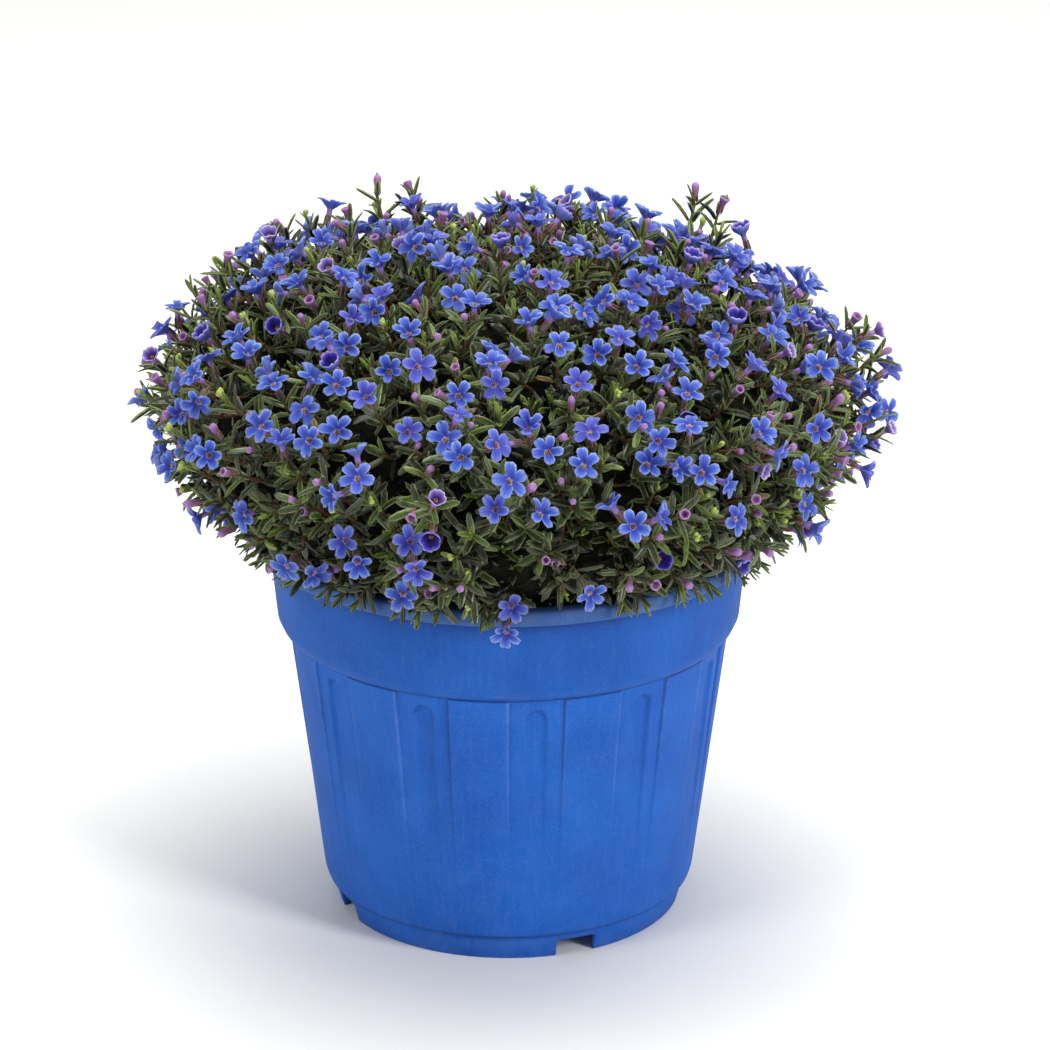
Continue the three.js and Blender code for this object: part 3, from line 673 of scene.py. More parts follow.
def map_place(number, count):
    turn = number * GOLDEN_ANGLE
    return math.sqrt((number + 0.5) / count) * complex(math.cos(turn), math.sin(turn))


def on_bush(place, across, along):
    """A vector at the place's azimuth, with its reach outwards and its height."""
    azimuth = math.atan2(place.imag, place.real)
    return np.array([across * math.sin(azimuth), -across * math.cos(azimuth), along])


def surface_point(place):
    angle = angle_at(place)
    height = BUSH_WIDEST_Z + bush_height(angle) * math.cos(angle)
    return on_bush(place, BUSH_RADIUS * math.sin(angle), height)


def surface_normal(place):
    angle = angle_at(place)
    return unit(on_bush(place, bush_height(angle) * math.sin(angle), BUSH_RADIUS * math.cos(angle)))


def under_surface(place, depth):
    point = surface_point(place)
    return point + depth * unit(CROWN - point)


branch_places = np.array([map_place(i, BRANCHES) for i in range(BRANCHES)])


def nearest_branch(place):
    return int(np.argmin(np.abs(branch_places - place)))


def place_shoot(number):
    """One shoot, from its root in the branch's core to the middle of its bloom or bud."""
    draw = draws_for(number)
    scatter = complex(draw() - 0.5, draw() - 0.5) * MAP_SCATTER
    place = map_place(number, SHOOTS) + scatter
    place /= max(1, abs(place))
    outward = surface_normal(place)
    tip = surface_point(place) + outward * TIP_SCATTER * (draw() - 0.5)
    branch = nearest_branch(place)
    skin = under_surface(place + SHOOT_PULL * (branch_places[branch] - place), CORE_DEPTH)
    facing = unit(unit(tip - skin) + OUTWARD_PULL * outward + UPWARD_PULL * UP)
    neck = tip - FUNNEL_DEPTH * facing
    along = unit(neck - skin)
    steps = UPPER_BLOOM_STEPS if angle_at(place) < SKIRT_ANGLE else SKIRT_BLOOM_STEPS
    luck = draw()
    return {
        "branch": branch,
        "place": place,
        "root": skin - SHOOT_ROOT * along,
        "skin": skin,
        "fork": neck - FORK_LENGTH * along,
        "tip": tip,
        "along": along,
        "facing": facing,
        "blooms": sum(luck > step for step in steps),
        "turn": 2 * math.pi * draw(),
        "reference": reference_for(along),
        "draw": draw,
    }


claimed = {}


def cell_of(x, y, z):
    return (math.floor(x / CELL), math.floor(y / CELL), math.floor(z / CELL))


def claim(branch, balls):
    for point, radius in balls:
        claimed.setdefault(cell_of(*point), []).append((branch, point, radius))


def meets_pot(point, radius):
    reach = math.hypot(point[0], point[1])
    room = radius + CLEARANCE
    if point[2] - room > POT_HEIGHT:
        return False
    if reach < BAND_LOW_RADIUS:
        return point[2] - room < SOIL_TOP_Z
    return reach - room < LIP_RADIUS


def is_free(branch, balls):
    """Whether a side bloom's balls are clear of the pot and of all that stands already."""
    steps = (-CELL, 0, CELL)
    for point, radius in balls:
        if meets_pot(point, radius):
            return False
        for dx in steps:
            for dy in steps:
                for dz in steps:
                    key = cell_of(point[0] + dx, point[1] + dy, point[2] + dz)
                    for other, centre, size in claimed.get(key, ()):
                        room = radius + size + (0 if other == branch else CLEARANCE)
                        if math.dist(point, centre) <= room:
                            return False
    return True


def balls_along(start, end, count, radius):
    return [(start + (end - start) * i / (count - 1), radius) for i in range(count)]


def bloom_balls(middle, facing, radius, turn, reference):
    balls = balls_along(middle, middle - FUNNEL_DEPTH * facing, 4, TUBE_BALL_RADIUS)
    turns = [turn + 2 * math.pi * i / PETALS for i in range(PETALS)]
    for share, size in LOBE_BALLS:
        ring = ring_about(middle, facing, turns, share * radius, reference)
        balls += [(point, size) for point in ring]
    return balls


def looking_up(facing):
    """The way a bloom faces once its stalk has turned it up from the ground."""
    return unit(np.array([facing[0], facing[1], max(LOWEST_FACING, facing[2])]))


shoots = [place_shoot(number) for number in range(SHOOTS)]
blooms = []
buds = []
for shoot in shoots:
    facing, tip = shoot["facing"], shoot["tip"]
    claim(shoot["branch"], balls_along(shoot["root"], shoot["fork"], 9, SHOOT_RADIUS))
    head = {key: shoot[key] for key in ("branch", "facing", "turn", "reference")}
    head |= {"middle": tip, "radius": BLOOM_RADIUS, "start": None, "place": shoot["place"]}
    if shoot["blooms"]:
        balls = bloom_balls(tip, facing, BLOOM_RADIUS, shoot["turn"], shoot["reference"])
        claim(shoot["branch"], balls)
        blooms.append(head)
    else:
        claim(shoot["branch"], balls_along(tip, tip + BUD_LENGTH * facing, 4, BUD_RADIUS))
        buds.append(head)
for shoot in shoots:
    for i in range(1, shoot["blooms"]):
        low, high = SIDE_BLOOM_SHARES
        radius = BLOOM_RADIUS * (low + (high - low) * shoot["draw"]())
        for attempt in range(SIDE_ATTEMPTS):
            spin = shoot["turn"] + math.pi / 3 + (i + attempt) * 2 * math.pi / 3
            tilt = SIDE_TILT - SIDE_BEND * (attempt // 3)
            facing = leaning(shoot["along"], spin, tilt, shoot["reference"])
            middle = shoot["fork"] + SIDE_LENGTH * facing
            balls = bloom_balls(middle, facing, radius, spin, shoot["reference"])
            if not is_free(shoot["branch"], balls):
                continue
            stalk = balls_along(shoot["fork"], middle, 5, PEDICEL_RADIUS)
            claim(shoot["branch"], balls + stalk)
            head = {key: shoot[key] for key in ("branch", "reference", "place")}
            head |= {"middle": middle, "facing": facing, "radius": radius, "turn": spin}
            blooms.append(head | {"start": shoot["fork"]})
            break
for head in blooms + shoots:
    head["facing"] = looking_up(head["facing"])

# Wood and twigs: each branch is a woody stem that forks into many thin twigs. Young wood is green, and
# it browns and reddens with age. Deep inside, a lumpy sheet stands for the old twigs and dead leaves
# that fill the bush, painted nearly black as painted shade.

TWIGS = 790
TWIG_SEED = 5000
TWIG_CLEAR = 7.5
TWIG_SCATTER = 0.04
TWIG_TURN = complex(math.cos(1), math.sin(1))
TWIG_PULL = 0.3
TWIG_BEND = 0.35
TWIG_CORE_SPREAD = 6
TWIG_SWELL = 6
TWIG_SWELL_SIZE = 34
TWIG_REACH = 127
# Tufts and dents of the bush's outline: where each is, how far it stands out, and how wide it is.
TUFTS = (
    (-72, 40, 210, 5, 22),
    (-46, 68, 218, 9, 18),
    (0, 80, 221, -4, 12),
    (14, 76, 222, 14, 9),
    (30, 71, 222, 9, 6),
    (44, 66, 222, -9, 9),
    (66, 50, 217, 21, 9),
    (86, 44, 212, -7, 9),
    (104, 10, 205, -4, 22),
    (114, -8, 206, 15, 9),
    (122, -16, 187, 9, 12),
    (-100, 10, 206, 9, 10),
    (-100, -30, 145, -5, 22),
    (-104, -18, 138, -12, 13),
    (-117, -10, 155, 9, 8),
    (-120, -8, 167, -9, 8),
    (-122, -6, 184, 8, 7),
)
GAP_SIZE = 15
GAP_LEVEL = -0.3
GAP_SINK = 9
LOW_GAPS = 0.18
LOW_GAP_ZS = (150, 178)
TWIG_DEPTHS = (-1.0, 7.0)
SKIRT_TWIGS = 60
BARE_LIPS = ((1, 22), (-106, -76))
HUB_DEPTH = 50
TIP_STEM_RADIUS = 0.42
STEM_TAPER = 0.6
STEM_AGEING = 1.2
FOOT_STEM_RADIUS = 2.1
CALYX_FOOT = 9.0
LINE_POINTS = 28
SHADED_THICKET_DEPTH = 20
SHADED_THICKET_ROWS = 40
SHADED_THICKET_COLUMNS = 110
SHADED_THICKET_LUMPS = 5
SHADED_THICKET_LUMP_SIZE = 9
SHOOT_BEND = 0.3
HUB_STEM_RADIUS = 1.5
FOOT_STEM_POINTS, FOOT_STEM_SIDES = 9, 7
FOOT_STEM_BOW = 3
LEAF, BARK = 0, 1


def smooth_line(knots, count):
    """Points on a smooth curve through the knots."""
    knots = np.asarray(knots, float)
    ends = 2 * knots[0] - knots[1], 2 * knots[-1] - knots[-2]
    padded = np.vstack([ends[0], knots, ends[1]])
    t = np.linspace(0, len(knots) - 1 - 1e-9, count)
    i = t.astype(int)
    u = (t - i)[:, None]
    a, b, c, d = padded[i], padded[i + 1], padded[i + 2], padded[i + 3]
    bends = (2 * a - 5 * b + 4 * c - d) * u**2 + (3 * b - a - 3 * c + d) * u**3
    return 0.5 * (2 * b + (c - a) * u + bends)


def stem_rings(line, radii, sides):
    """Rings of points round a line, which all start on the same side of it."""
    ways = np.gradient(line, axis=0)
    ways /= np.linalg.norm(ways, axis=1, keepdims=True)
    reference = np.eye(3)[np.argmin(np.abs(line[-1] - line[0]))]
    side = np.cross(reference, ways)
    side /= np.linalg.norm(side, axis=1, keepdims=True)
    front = np.cross(ways, side)
    turns = (2 * math.pi * np.arange(sides) / sides)[None, :, None]
    across = np.cos(turns) * side[:, None] + np.sin(turns) * front[:, None]
    return line[:, None] + np.asarray(radii)[:, None, None] * across


def add_stem(batch, line, radii, sides, ages, tone):
    """A closed stem along the line, painted by its age from 0, green, to 1, old wood."""
    points, faces = lofted(stem_rings(line, radii, sides))
    age = np.concatenate([np.repeat(ages, sides), [ages[0], ages[-1]]])
    paint = np.stack([np.full(len(points), tone), age, np.zeros(len(points))], -1)
    batch.add(points, faces, paint, BARK)


def swell(point):
    """How far the leafy surface stands proud here: lumps all over, and tufts and dents by place."""
    total = TWIG_SWELL * noise.noise(Vector(point) / TWIG_SWELL_SIZE)
    for *middle, height, spread in TUFTS:
        total += height * math.exp(-((math.dist(point, middle) / spread) ** 2) / 2)
    return total


def place_twig(number):
    """A leafy twig between the shoots, or None where a shoot stands already.

    In the bush's gaps the twigs end deeper, in the shade.
    """
    draw = draws_for(TWIG_SEED + number)
    scatter = complex(draw() - 0.5, draw() - 0.5) * TWIG_SCATTER
    place = map_place(number, TWIGS) * TWIG_TURN + scatter
    place /= max(1, abs(place))
    outward = surface_normal(place)
    low, high = TWIG_DEPTHS
    tip = surface_point(place)
    tip = tip + outward * (swell(tip) - low - (high - low) * draw())
    tip[:2] *= min(1, TWIG_REACH / math.hypot(tip[0], tip[1]))
    if min(math.dist(tip, shoot["tip"]) for shoot in shoots) < TWIG_CLEAR:
        return None
    gap_level = GAP_LEVEL + LOW_GAPS * (1 - smooth_step(*LOW_GAP_ZS, tip[2]))
    shaded = noise.noise(Vector(tip) / GAP_SIZE) < gap_level
    if shaded:
        tip = tip - GAP_SINK * outward
    branch = nearest_branch(place)
    core = place + TWIG_PULL * (branch_places[branch] - place)
    skin = under_surface(core, CORE_DEPTH + TWIG_CORE_SPREAD * draw())
    facing = unit(unit(tip - skin) + OUTWARD_PULL * outward + UPWARD_PULL * UP)
    bend = tip - TWIG_BEND * np.linalg.norm(tip - skin) * facing
    knots = [under_surface(branch_places[branch], HUB_DEPTH), skin, bend, tip]
    return {
        "branch": branch,
        "tip": tip,
        "facing": facing,
        "knots": knots,
        "draw": draw,
        "head": "shaded" if shaded else "leaf",
    }


def place_skirt_twig(number):
    """A twig that grows out over the pot's lip and hangs a little in front of it.

    Where the lip is bare it ends inside. Reaches are from the pot's axis, in millimetres.
    """
    draw = draws_for(2 * TWIG_SEED + number)
    turn = (number + 0.8 * (draw() - 0.5)) * 360 / SKIRT_TWIGS
    azimuth = math.radians(turn)

    def at(reach, height):
        return np.array([reach * math.sin(azimuth), -reach * math.cos(azimuth), height])

    tip = at(90 + 5 * draw(), POT_HEIGHT + 6 * draw() - 2.5)
    over = at(82 + 3 * draw(), POT_HEIGHT + 3.5 + 3 * draw())
    bearing = (turn + 180) % 360 - 180
    if any(low < bearing < high for low, high in BARE_LIPS):
        tip = at(77 + 4 * draw(), POT_HEIGHT + 7 + 4 * draw())
        over = at(70 + 3 * draw(), POT_HEIGHT + 4)
    facing = unit(tip - over)
    branch = nearest_branch(complex(math.cos(azimuth), math.sin(azimuth)) * 0.97)
    return {
        "branch": branch,
        "tip": tip,
        "facing": facing,
        "knots": [at(52, SOIL_TOP_Z), at(68, POT_HEIGHT + 1), over, tip],
        "draw": draw,
        "head": "skirt",
    }


twigs = [twig for twig in map(place_twig, range(TWIGS)) if twig]
skirt = [place_skirt_twig(number) for number in range(SKIRT_TWIGS)]

# Twigs end in a bloom, a pink bud or a tiny green one, or in leaves alone. Blooms come in loose
# clusters, fewer near the pot, and those that overlap stand at different heights.
CLUSTER_SIZE = 30
CLUSTERING = 1.15
FLOWERY_SHARE = 0.72
TWIG_BLOOM_LIFTS = (2.5, 5.5, 0)
TWIG_BLOOM_SIZE, TWIG_BLOOM_GROWTH = 0.9, 0.14
TWIG_BLOOM_BEND = 8
TWIG_BLOOM_NOD = 0.95
BLOOM_REACH = 129
FACE_ROOM, FACE_DEPTH = 8.6, 2.3
STALK_ROOM, STALK_DEPTH = 5, 10
BUD_STALK = 4
BUD_LIFT, BUD_LIFT_SPREAD = 0.8, 3.4
PINK_BUD_CLEAR = 5.2
PINK_BUD_SHARE = 0.55
GREEN_BUD_SHARE = 0.4
SPARSE_Z = 178
SPARSE_REACH = 34
SPARSE_FRONT = 0.2
FULL_Z = 195
TOP_REACH = 58
LEAFY_X = -84
LEAFY_REACH = 30
LIGHTWARD = 0.35


def stands_clear(middle, facing):
    """Whether a bloom here would pass through no other, hide none and stay with the bush."""
    level = math.hypot(facing[0], facing[1])
    if math.hypot(middle[0], middle[1]) + BLOOM_RADIUS * math.sqrt(1 - level**2) > BLOOM_REACH:
        return False
    for bloom in blooms:
        apart = bloom["middle"] - middle
        depth = apart @ facing
        aside = math.sqrt(max(0, apart @ apart - depth**2))
        if aside < FACE_ROOM and abs(depth) < FACE_DEPTH:
            return False
        if aside < STALK_ROOM and abs(depth) < STALK_DEPTH:
            return False
    return True


def is_flowery(tip, luck):
    """Whether a twig with this luck blooms: fewer do at the top, at the left and low in front."""
    share = FLOWERY_SHARE + CLUSTERING * noise.noise(Vector(tip) / CLUSTER_SIZE)
    share -= max(0, tip[2] - FULL_Z) / TOP_REACH + max(0, LEAFY_X - tip[0]) / LEAFY_REACH
    return luck < share - max(0, SPARSE_Z - SPARSE_FRONT * tip[1] - tip[2]) / SPARSE_REACH


for twig in twigs:
    if twig["head"] == "shaded":
        continue
    draw, tip = twig["draw"], twig["tip"]
    reference = reference_for(twig["facing"])
    facing = leaning(twig["facing"], 2 * math.pi * draw(), TWIG_BLOOM_NOD * draw(), reference)
    facing = looking_up(unit(facing + LIGHTWARD * max(0, facing[2]) * FRONT))
    head = {"branch": twig["branch"], "facing": facing, "turn": 2 * math.pi * draw()}
    head |= {"reference": reference_for(facing), "start": None}
    head["radius"] = BLOOM_RADIUS * (TWIG_BLOOM_SIZE + TWIG_BLOOM_GROWTH * draw())
    if is_flowery(tip, draw()):
        spots = [tip + lift * twig["facing"] for lift in TWIG_BLOOM_LIFTS]
        middle = next((spot for spot in spots if stands_clear(spot, facing)), None)
        if middle is not None:
            twig["head"] = "bloom"
            foot = middle - CALYX_FOOT * facing
            twig["knots"][-2:] = [foot - TWIG_BLOOM_BEND * twig["facing"], foot]
            blooms.append(head | {"middle": middle})
            continue
    nearest = min(math.dist(tip, bloom["middle"]) for bloom in blooms)
    if nearest > PINK_BUD_CLEAR and draw() < PINK_BUD_SHARE:
        twig["head"] = "bud"
        head["middle"] = tip + (BUD_LIFT + BUD_LIFT_SPREAD * draw()) * facing
        twig["knots"][-1] = head["middle"] - BUD_STALK * facing
        buds.append(head)
    elif nearest > PINK_BUD_CLEAR and draw() < GREEN_BUD_SHARE:
        twig["head"] = "green bud"

stems = [shoot | {"head": "bloom" if shoot["blooms"] else "bud"} for shoot in shoots]
for shoot in stems:
    hub = under_surface(branch_places[shoot["branch"]], HUB_DEPTH)
    end = shoot["tip"] - CALYX_FOOT * shoot["facing"]
    if shoot["head"] == "bud":
        end = shoot["tip"] - BUD_STALK * shoot["facing"]
    bend = end - SHOOT_BEND * np.linalg.norm(end - shoot["skin"]) * shoot["facing"]
    shoot["knots"] = [hub, shoot["skin"], bend, end]
stems += twigs + skirt

leafage = [Batch() for _ in range(BRANCHES)]
floral = [Batch() for _ in range(BRANCHES)]
for stem in stems:
    stem["line"] = smooth_line(stem["knots"], LINE_POINTS)
    picked = stem["line"][::3]
    rows = len(picked)
    ages = np.linspace(1, 0, rows) ** STEM_AGEING
    radii = TIP_STEM_RADIUS + STEM_TAPER * np.linspace(1, 0, rows)
    add_stem(leafage[stem["branch"]], picked, radii, 4, ages, stem["draw"]())
for i, place in enumerate(branch_places):
    foot = place * CROWN_RADIUS
    ground = np.array([foot.imag, -foot.real, SOIL_TOP_Z - 4])
    hub = under_surface(place, HUB_DEPTH)
    line = smooth_line([ground, (ground + hub) / 2 + FOOT_STEM_BOW * UP, hub], FOOT_STEM_POINTS)
    radii = np.linspace(FOOT_STEM_RADIUS, HUB_STEM_RADIUS, FOOT_STEM_POINTS)
    add_stem(leafage[i], line, radii, FOOT_STEM_SIDES, np.ones(FOOT_STEM_POINTS), 0.5)

# A lumpy sheet under the leaves, painted nearly black as the bush's inner shade.
shaded_thicket = Batch()
rings = []
for row in range(SHADED_THICKET_ROWS):
    reach = ((row + 0.5) / SHADED_THICKET_ROWS) ** 0.8
    ring = []
    for column in range(SHADED_THICKET_COLUMNS):
        turn = 2 * math.pi * column / SHADED_THICKET_COLUMNS
        place = reach * complex(math.cos(turn), math.sin(turn))
        point = Vector(surface_point(place))
        lumps = noise.fractal(point / SHADED_THICKET_LUMP_SIZE, 1, 2, 3)
        ring.append(under_surface(place, SHADED_THICKET_DEPTH - swell(point) + SHADED_THICKET_LUMPS * lumps))
    rings.append(ring)
foot_turns = 2 * math.pi * np.arange(SHADED_THICKET_COLUMNS) / SHADED_THICKET_COLUMNS
for reach, z in ((60, SOIL_TOP_Z + 4), (48, SOIL_TOP_Z - 2)):
    xs, ys = reach * np.sin(foot_turns), -reach * np.cos(foot_turns)
    rings.append(np.stack([xs, ys, np.full(SHADED_THICKET_COLUMNS, z)], -1))
shaded_thicket.add(*lofted(np.array(rings)[::-1]))

# Old wood and dead leaves: painted nearly black as the painted shade of the bush's inside, with brown
# and grey-green flecks.
shaded_old_growth, tree = new_material("shaded_old_twigs_and_leaves")
where = put(tree, "TexCoord").outputs["Object"]
litter = put(tree, "TexVoronoi", {"Vector": where, "Scale": per(3), "Randomness": 1})
shaded_litter_colours = {0: "#060703", 0.6: "#0E1107", 0.9: "#1C170E", 1: "#2A301A"}
shaded_flecks = put(tree, "ValToRGB", {"Fac": litter.outputs["Color"]}, shaded_litter_colours)
shaded_duff = put(tree, "BsdfPrincipled", {
    "Base Color": shaded_flecks,
    "Roughness": 0.95,
    "Normal": put(tree, "Bump", {"Height": litter, "Distance": 1.5 * MM}),
    "Specular IOR Level": 0.1,
})
put(tree, "OutputMaterial", {"Surface": shaded_duff})
branch_nodes = [f"branch_{i + 1:02d}" for i in range(BRANCHES)]
build("inner_shaded_thicket", shaded_thicket, [shaded_old_growth], branch_nodes)

# Leaves: narrow, channelled blades, about 10 mm long, in a tight spiral up each shoot. They are
# dark green and bristly, with pale rims, and the youngest at the tips are yellow-green.

LEAF_LENGTH = 10
LEAF_WIDTH = 2.35
LEAF_THICKNESS = 0.32
LEAF_SPACING = 1.5
LEAVES_A_STEM = 15
OUTER_LEAVES = 6
OUTER_STATIONS = (0.08, 0.34, 0.66, 0.9)
INNER_STATIONS = (0.28, 0.74)
BRISTLE_STATIONS = (0.3, 0.55, 0.78)
BRISTLE_LENGTH = 0.085
BRISTLE_GIRTH = 0.008
LEAF_BENDS = (-0.2, 0.15, 0.4, 0.7, 1.0)
LEAF_TWIST = 0.25
FOOT_FULLNESS, TIP_FULLNESS, GREATEST_FULLNESS = 0.45, 0.42, 0.54
CHANNEL = 0.38
KEEL_TAPER = 0.6
FIRST_LEAF, NEAREST_LEAF, HEAD_ROOM = 0.3, 0.2, 1.2
YOUNG_REACH = 7
HEADED_AGE = 3.0
YOUNG_LENGTH = 0.4
LEAF_SIZES = (0.86, 1.12)
YOUNG_TILT, GROWN_TILT, INNER_TILT, TILT_SCATTER = 10, 33, 10, 8
SPIRAL_STARTS, SPIRAL_SCATTER = 6.28, 0.15
YOUNG_BEND, GROWN_BEND = 0.6, 1.8
# Tones of the painted shade on leaves further in from the tip, and on leaves low in the bush.
INNER_ORDERS, INNER_SHADE_TONES = (4, 10), (1, 0.25)
SKIRT_YOUTH = 0.4
SHADY_ZS = (145, 185)
SHADY_TONE = 0.74
DIVERGENCE = math.radians(137.5)
WITHERED_SHARE = 0.007
WITHERED_TONE = 2
BEHIND_FACE, BEFORE_FACE, FACE_SHARE = -2.2, 7, 0.85


def bristle(foot, way, across):
    """A stiff pointed hair: four points, and its faces."""
    up = np.array([0, 0, BRISTLE_GIRTH])
    root = foot - 0.1 * BRISTLE_LENGTH * way
    points = [root - BRISTLE_GIRTH * across, root + BRISTLE_GIRTH * across, root + up]
    return [*points, foot + BRISTLE_LENGTH * way]


def leaf_form(bend, twist, stations, bristles):
    """A leaf of length 1: across is X, along is Y and its upper face looks along Z."""
    stations = np.array(stations)
    fullness = stations**FOOT_FULLNESS * (1 - stations) ** TIP_FULLNESS
    halves = fullness / GREATEST_FULLNESS * LEAF_WIDTH / LEAF_LENGTH / 2
    steps = np.concatenate([[0], stations, [1]])
    turns = bend * (steps[1:] + steps[:-1]) / 2
    lengths = np.diff(steps)
    along = np.concatenate([[0], np.cumsum(lengths * np.cos(turns))])
    rise = np.concatenate([[0], np.cumsum(-lengths * np.sin(turns))])
    thickness = LEAF_THICKNESS / LEAF_LENGTH
    rings = []
    for half, y, z, s in zip(halves, along[1:-1], rise[1:-1], stations):
        lean = twist * s
        side = np.array([math.cos(lean), 0, math.sin(lean)])
        middle = np.array([0, y, z])
        sunk = middle - np.array([0, 0, CHANNEL * half])
        keel = sunk - np.array([0, 0, 2 * thickness * (1 - KEEL_TAPER * s)])
        rings.append([sunk, middle + half * side, keel, middle - half * side])
    rings = np.array(rings)
    tip = np.array([0, along[-1], rise[-1]])
    points, (quads, fans) = lofted(rings, np.zeros(3), tip)
    edges = [0.0, 1, 0.25, 1] * len(rings) + [0, 0.7]
    points = list(points)
    fans = list(fans)
    for s in bristles:
        for hand, rim in ((1, rings[:, 1]), (-1, rings[:, 3])):
            place = s + 0.06 * hand
            foot = np.array([np.interp(place, stations, rim[:, k]) for k in range(3)])
            way = unit(np.array([hand, 0.8, 0.5]))
            n = len(points)
            points += bristle(foot, way, np.array([0.6, -0.8 * hand, 0]))
            fans += [[n, n + 1, n + 3], [n + 1, n + 2, n + 3], [n + 2, n, n + 3], [n, n + 2, n + 1]]
            edges += [2] * 4
    return np.array(points), [quads, np.array(fans)], np.array(edges)


def blade_ways(stem_ways, spins, tilts):
    """Across, along and upper ways of leaves that lean out from their stem by their tilts."""
    reference = np.where(np.abs(stem_ways[:, 2:]) < STEEP, UP, FRONT)
    side = np.cross(reference, stem_ways)
    side /= np.linalg.norm(side, axis=1, keepdims=True)
    front = np.cross(stem_ways, side)
    out = side * np.cos(spins)[:, None] + front * np.sin(spins)[:, None]
    along = stem_ways * np.cos(tilts)[:, None] + out * np.sin(tilts)[:, None]
    above = stem_ways * np.sin(tilts)[:, None] - out * np.cos(tilts)[:, None]
    return np.stack([np.cross(along, above), along, above], 1)


def stations_from_tip(line, distances):
    """Points on a line at distances back from its end, and the line's way at each."""
    back = line[::-1]
    lengths = np.linalg.norm(np.diff(back, axis=0), axis=1)
    reached = np.concatenate([[0], np.cumsum(lengths)])
    distances = np.minimum(distances, reached[-1])
    points = np.stack([np.interp(distances, reached, back[:, k]) for k in range(3)], -1)
    nearer = np.stack([np.interp(distances - 1, reached, back[:, k]) for k in range(3)], -1)
    further = np.stack([np.interp(distances + 1, reached, back[:, k]) for k in range(3)], -1)
    ways = nearer - further
    return points, ways / np.linalg.norm(ways, axis=1, keepdims=True)


leaf_forms = []
for stations, bristles in ((OUTER_STATIONS, BRISTLE_STATIONS), (INNER_STATIONS, ())):
    for i, bend in enumerate(LEAF_BENDS):
        leaf_forms.append(leaf_form(bend, LEAF_TWIST * (-1) ** i, stations, bristles))

# A stem's leaves are counted from its tip inwards. Those under a bloom or a bud are older, and
# on some leafy twigs the outer four are young.
grown_leaves = []
random = np.random.default_rng(3)
order = np.arange(LEAVES_A_STEM)
for stem in stems:
    flowering = stem["head"] in ("bloom", "bud")
    distances = FIRST_LEAF + order * LEAF_SPACING - (HEAD_ROOM if flowering else 0)
    feet, ways = stations_from_tip(stem["line"], np.maximum(NEAREST_LEAF, distances))
    grown = np.clip((order + HEADED_AGE * flowering) * LEAF_SPACING / YOUNG_REACH, 0, 1)
    spins = stem["draw"]() * SPIRAL_STARTS + order * DIVERGENCE
    spins = spins + random.normal(0, SPIRAL_SCATTER, LEAVES_A_STEM)
    tilts = YOUNG_TILT + GROWN_TILT * grown + INNER_TILT * (order > 8)
    tilts = np.radians(tilts + random.normal(0, TILT_SCATTER, LEAVES_A_STEM))
    lengths = LEAF_LENGTH * (YOUNG_LENGTH + (1 - YOUNG_LENGTH) * grown)
    lengths = lengths * random.uniform(*LEAF_SIZES, LEAVES_A_STEM)
    youth = np.clip(1 - grown * 1.1, 0, 1) * random.uniform(0.5, 1, LEAVES_A_STEM)
    youth = np.maximum(youth, 0.5 * (stem["head"] == "leaf") * (order < 4) * random.random())
    youth *= SKIRT_YOUTH if stem["head"] == "skirt" else 1
    kinds = YOUNG_BEND + GROWN_BEND * grown + random.normal(0, 1, LEAVES_A_STEM)
    kinds = np.clip(np.round(kinds), 0, len(LEAF_BENDS) - 1)
    kinds += len(LEAF_BENDS) * ((order >= OUTER_LEAVES) | (stem["head"] == "shaded"))
    # A random tone, made darker as painted shade for leaves further in from the tip and on lower
    # stems.
    tones_and_shade = random.random(LEAVES_A_STEM) * np.interp(order, INNER_ORDERS, INNER_SHADE_TONES)
    tones_and_shade *= np.interp(stem["tip"][2], SHADY_ZS, (SHADY_TONE, 1))
    tones_and_shade = np.where(random.random(LEAVES_A_STEM) < WITHERED_SHARE, WITHERED_TONE, tones_and_shade)
    branches = np.full(LEAVES_A_STEM, stem["branch"])
    turned = blade_ways(ways, spins, tilts)
    grown_leaves.append((branches, kinds, feet, turned, lengths, tones_and_shade, youth))
leaf_parts = [np.concatenate(part) for part in zip(*grown_leaves)]
leaf_branch, leaf_kinds, leaf_feet, leaf_frames, leaf_lengths, leaf_tones_and_shade, leaf_youth = leaf_parts

# Leaves that would pass through or in front of a bloom's face are left off.
keep = np.ones(len(leaf_feet), bool)
for share in (0.35, 0.7, 1):
    reach = leaf_feet + leaf_frames[:, 1] * (share * leaf_lengths)[:, None]
    for bloom in blooms:
        apart = reach - bloom["middle"]
        depth = apart @ bloom["facing"]
        aside = np.linalg.norm(apart - depth[:, None] * bloom["facing"], axis=1)
        before = (depth > BEHIND_FACE) & (depth < BEFORE_FACE)
        keep &= ~(before & (aside < FACE_SHARE * bloom["radius"]))
    outwards = np.hypot(reach[:, 0], reach[:, 1])
    in_lip = (outwards < LIP_RADIUS + 1) & (outwards > SOIL_RIM_RADIUS)
    keep &= ~(in_lip & (reach[:, 2] < POT_HEIGHT + 1))
    keep &= reach[:, 2] > SOIL_TOP_Z - 2

for b in range(BRANCHES):
    for kind, (form, faces, edges) in enumerate(leaf_forms):
        chosen = np.flatnonzero(keep & (leaf_branch == b) & (leaf_kinds == kind))
        if not len(chosen):
            continue
        scaled = form[None] * leaf_lengths[chosen][:, None, None]
        points = leaf_feet[chosen][:, None] + scaled @ leaf_frames[chosen]
        steps = (np.arange(len(chosen)) * len(form))[:, None, None]
        groups = [(group[None] + steps).reshape(-1, group.shape[1]) for group in faces]
        paint = np.zeros((*points.shape[:2], 3))
        paint[..., 0] = leaf_tones_and_shade[chosen][:, None]
        paint[..., 1] = leaf_youth[chosen][:, None]
        paint[..., 2] = edges[None]
        leafage[b].add(points, groups, paint.reshape(-1, 3), LEAF)

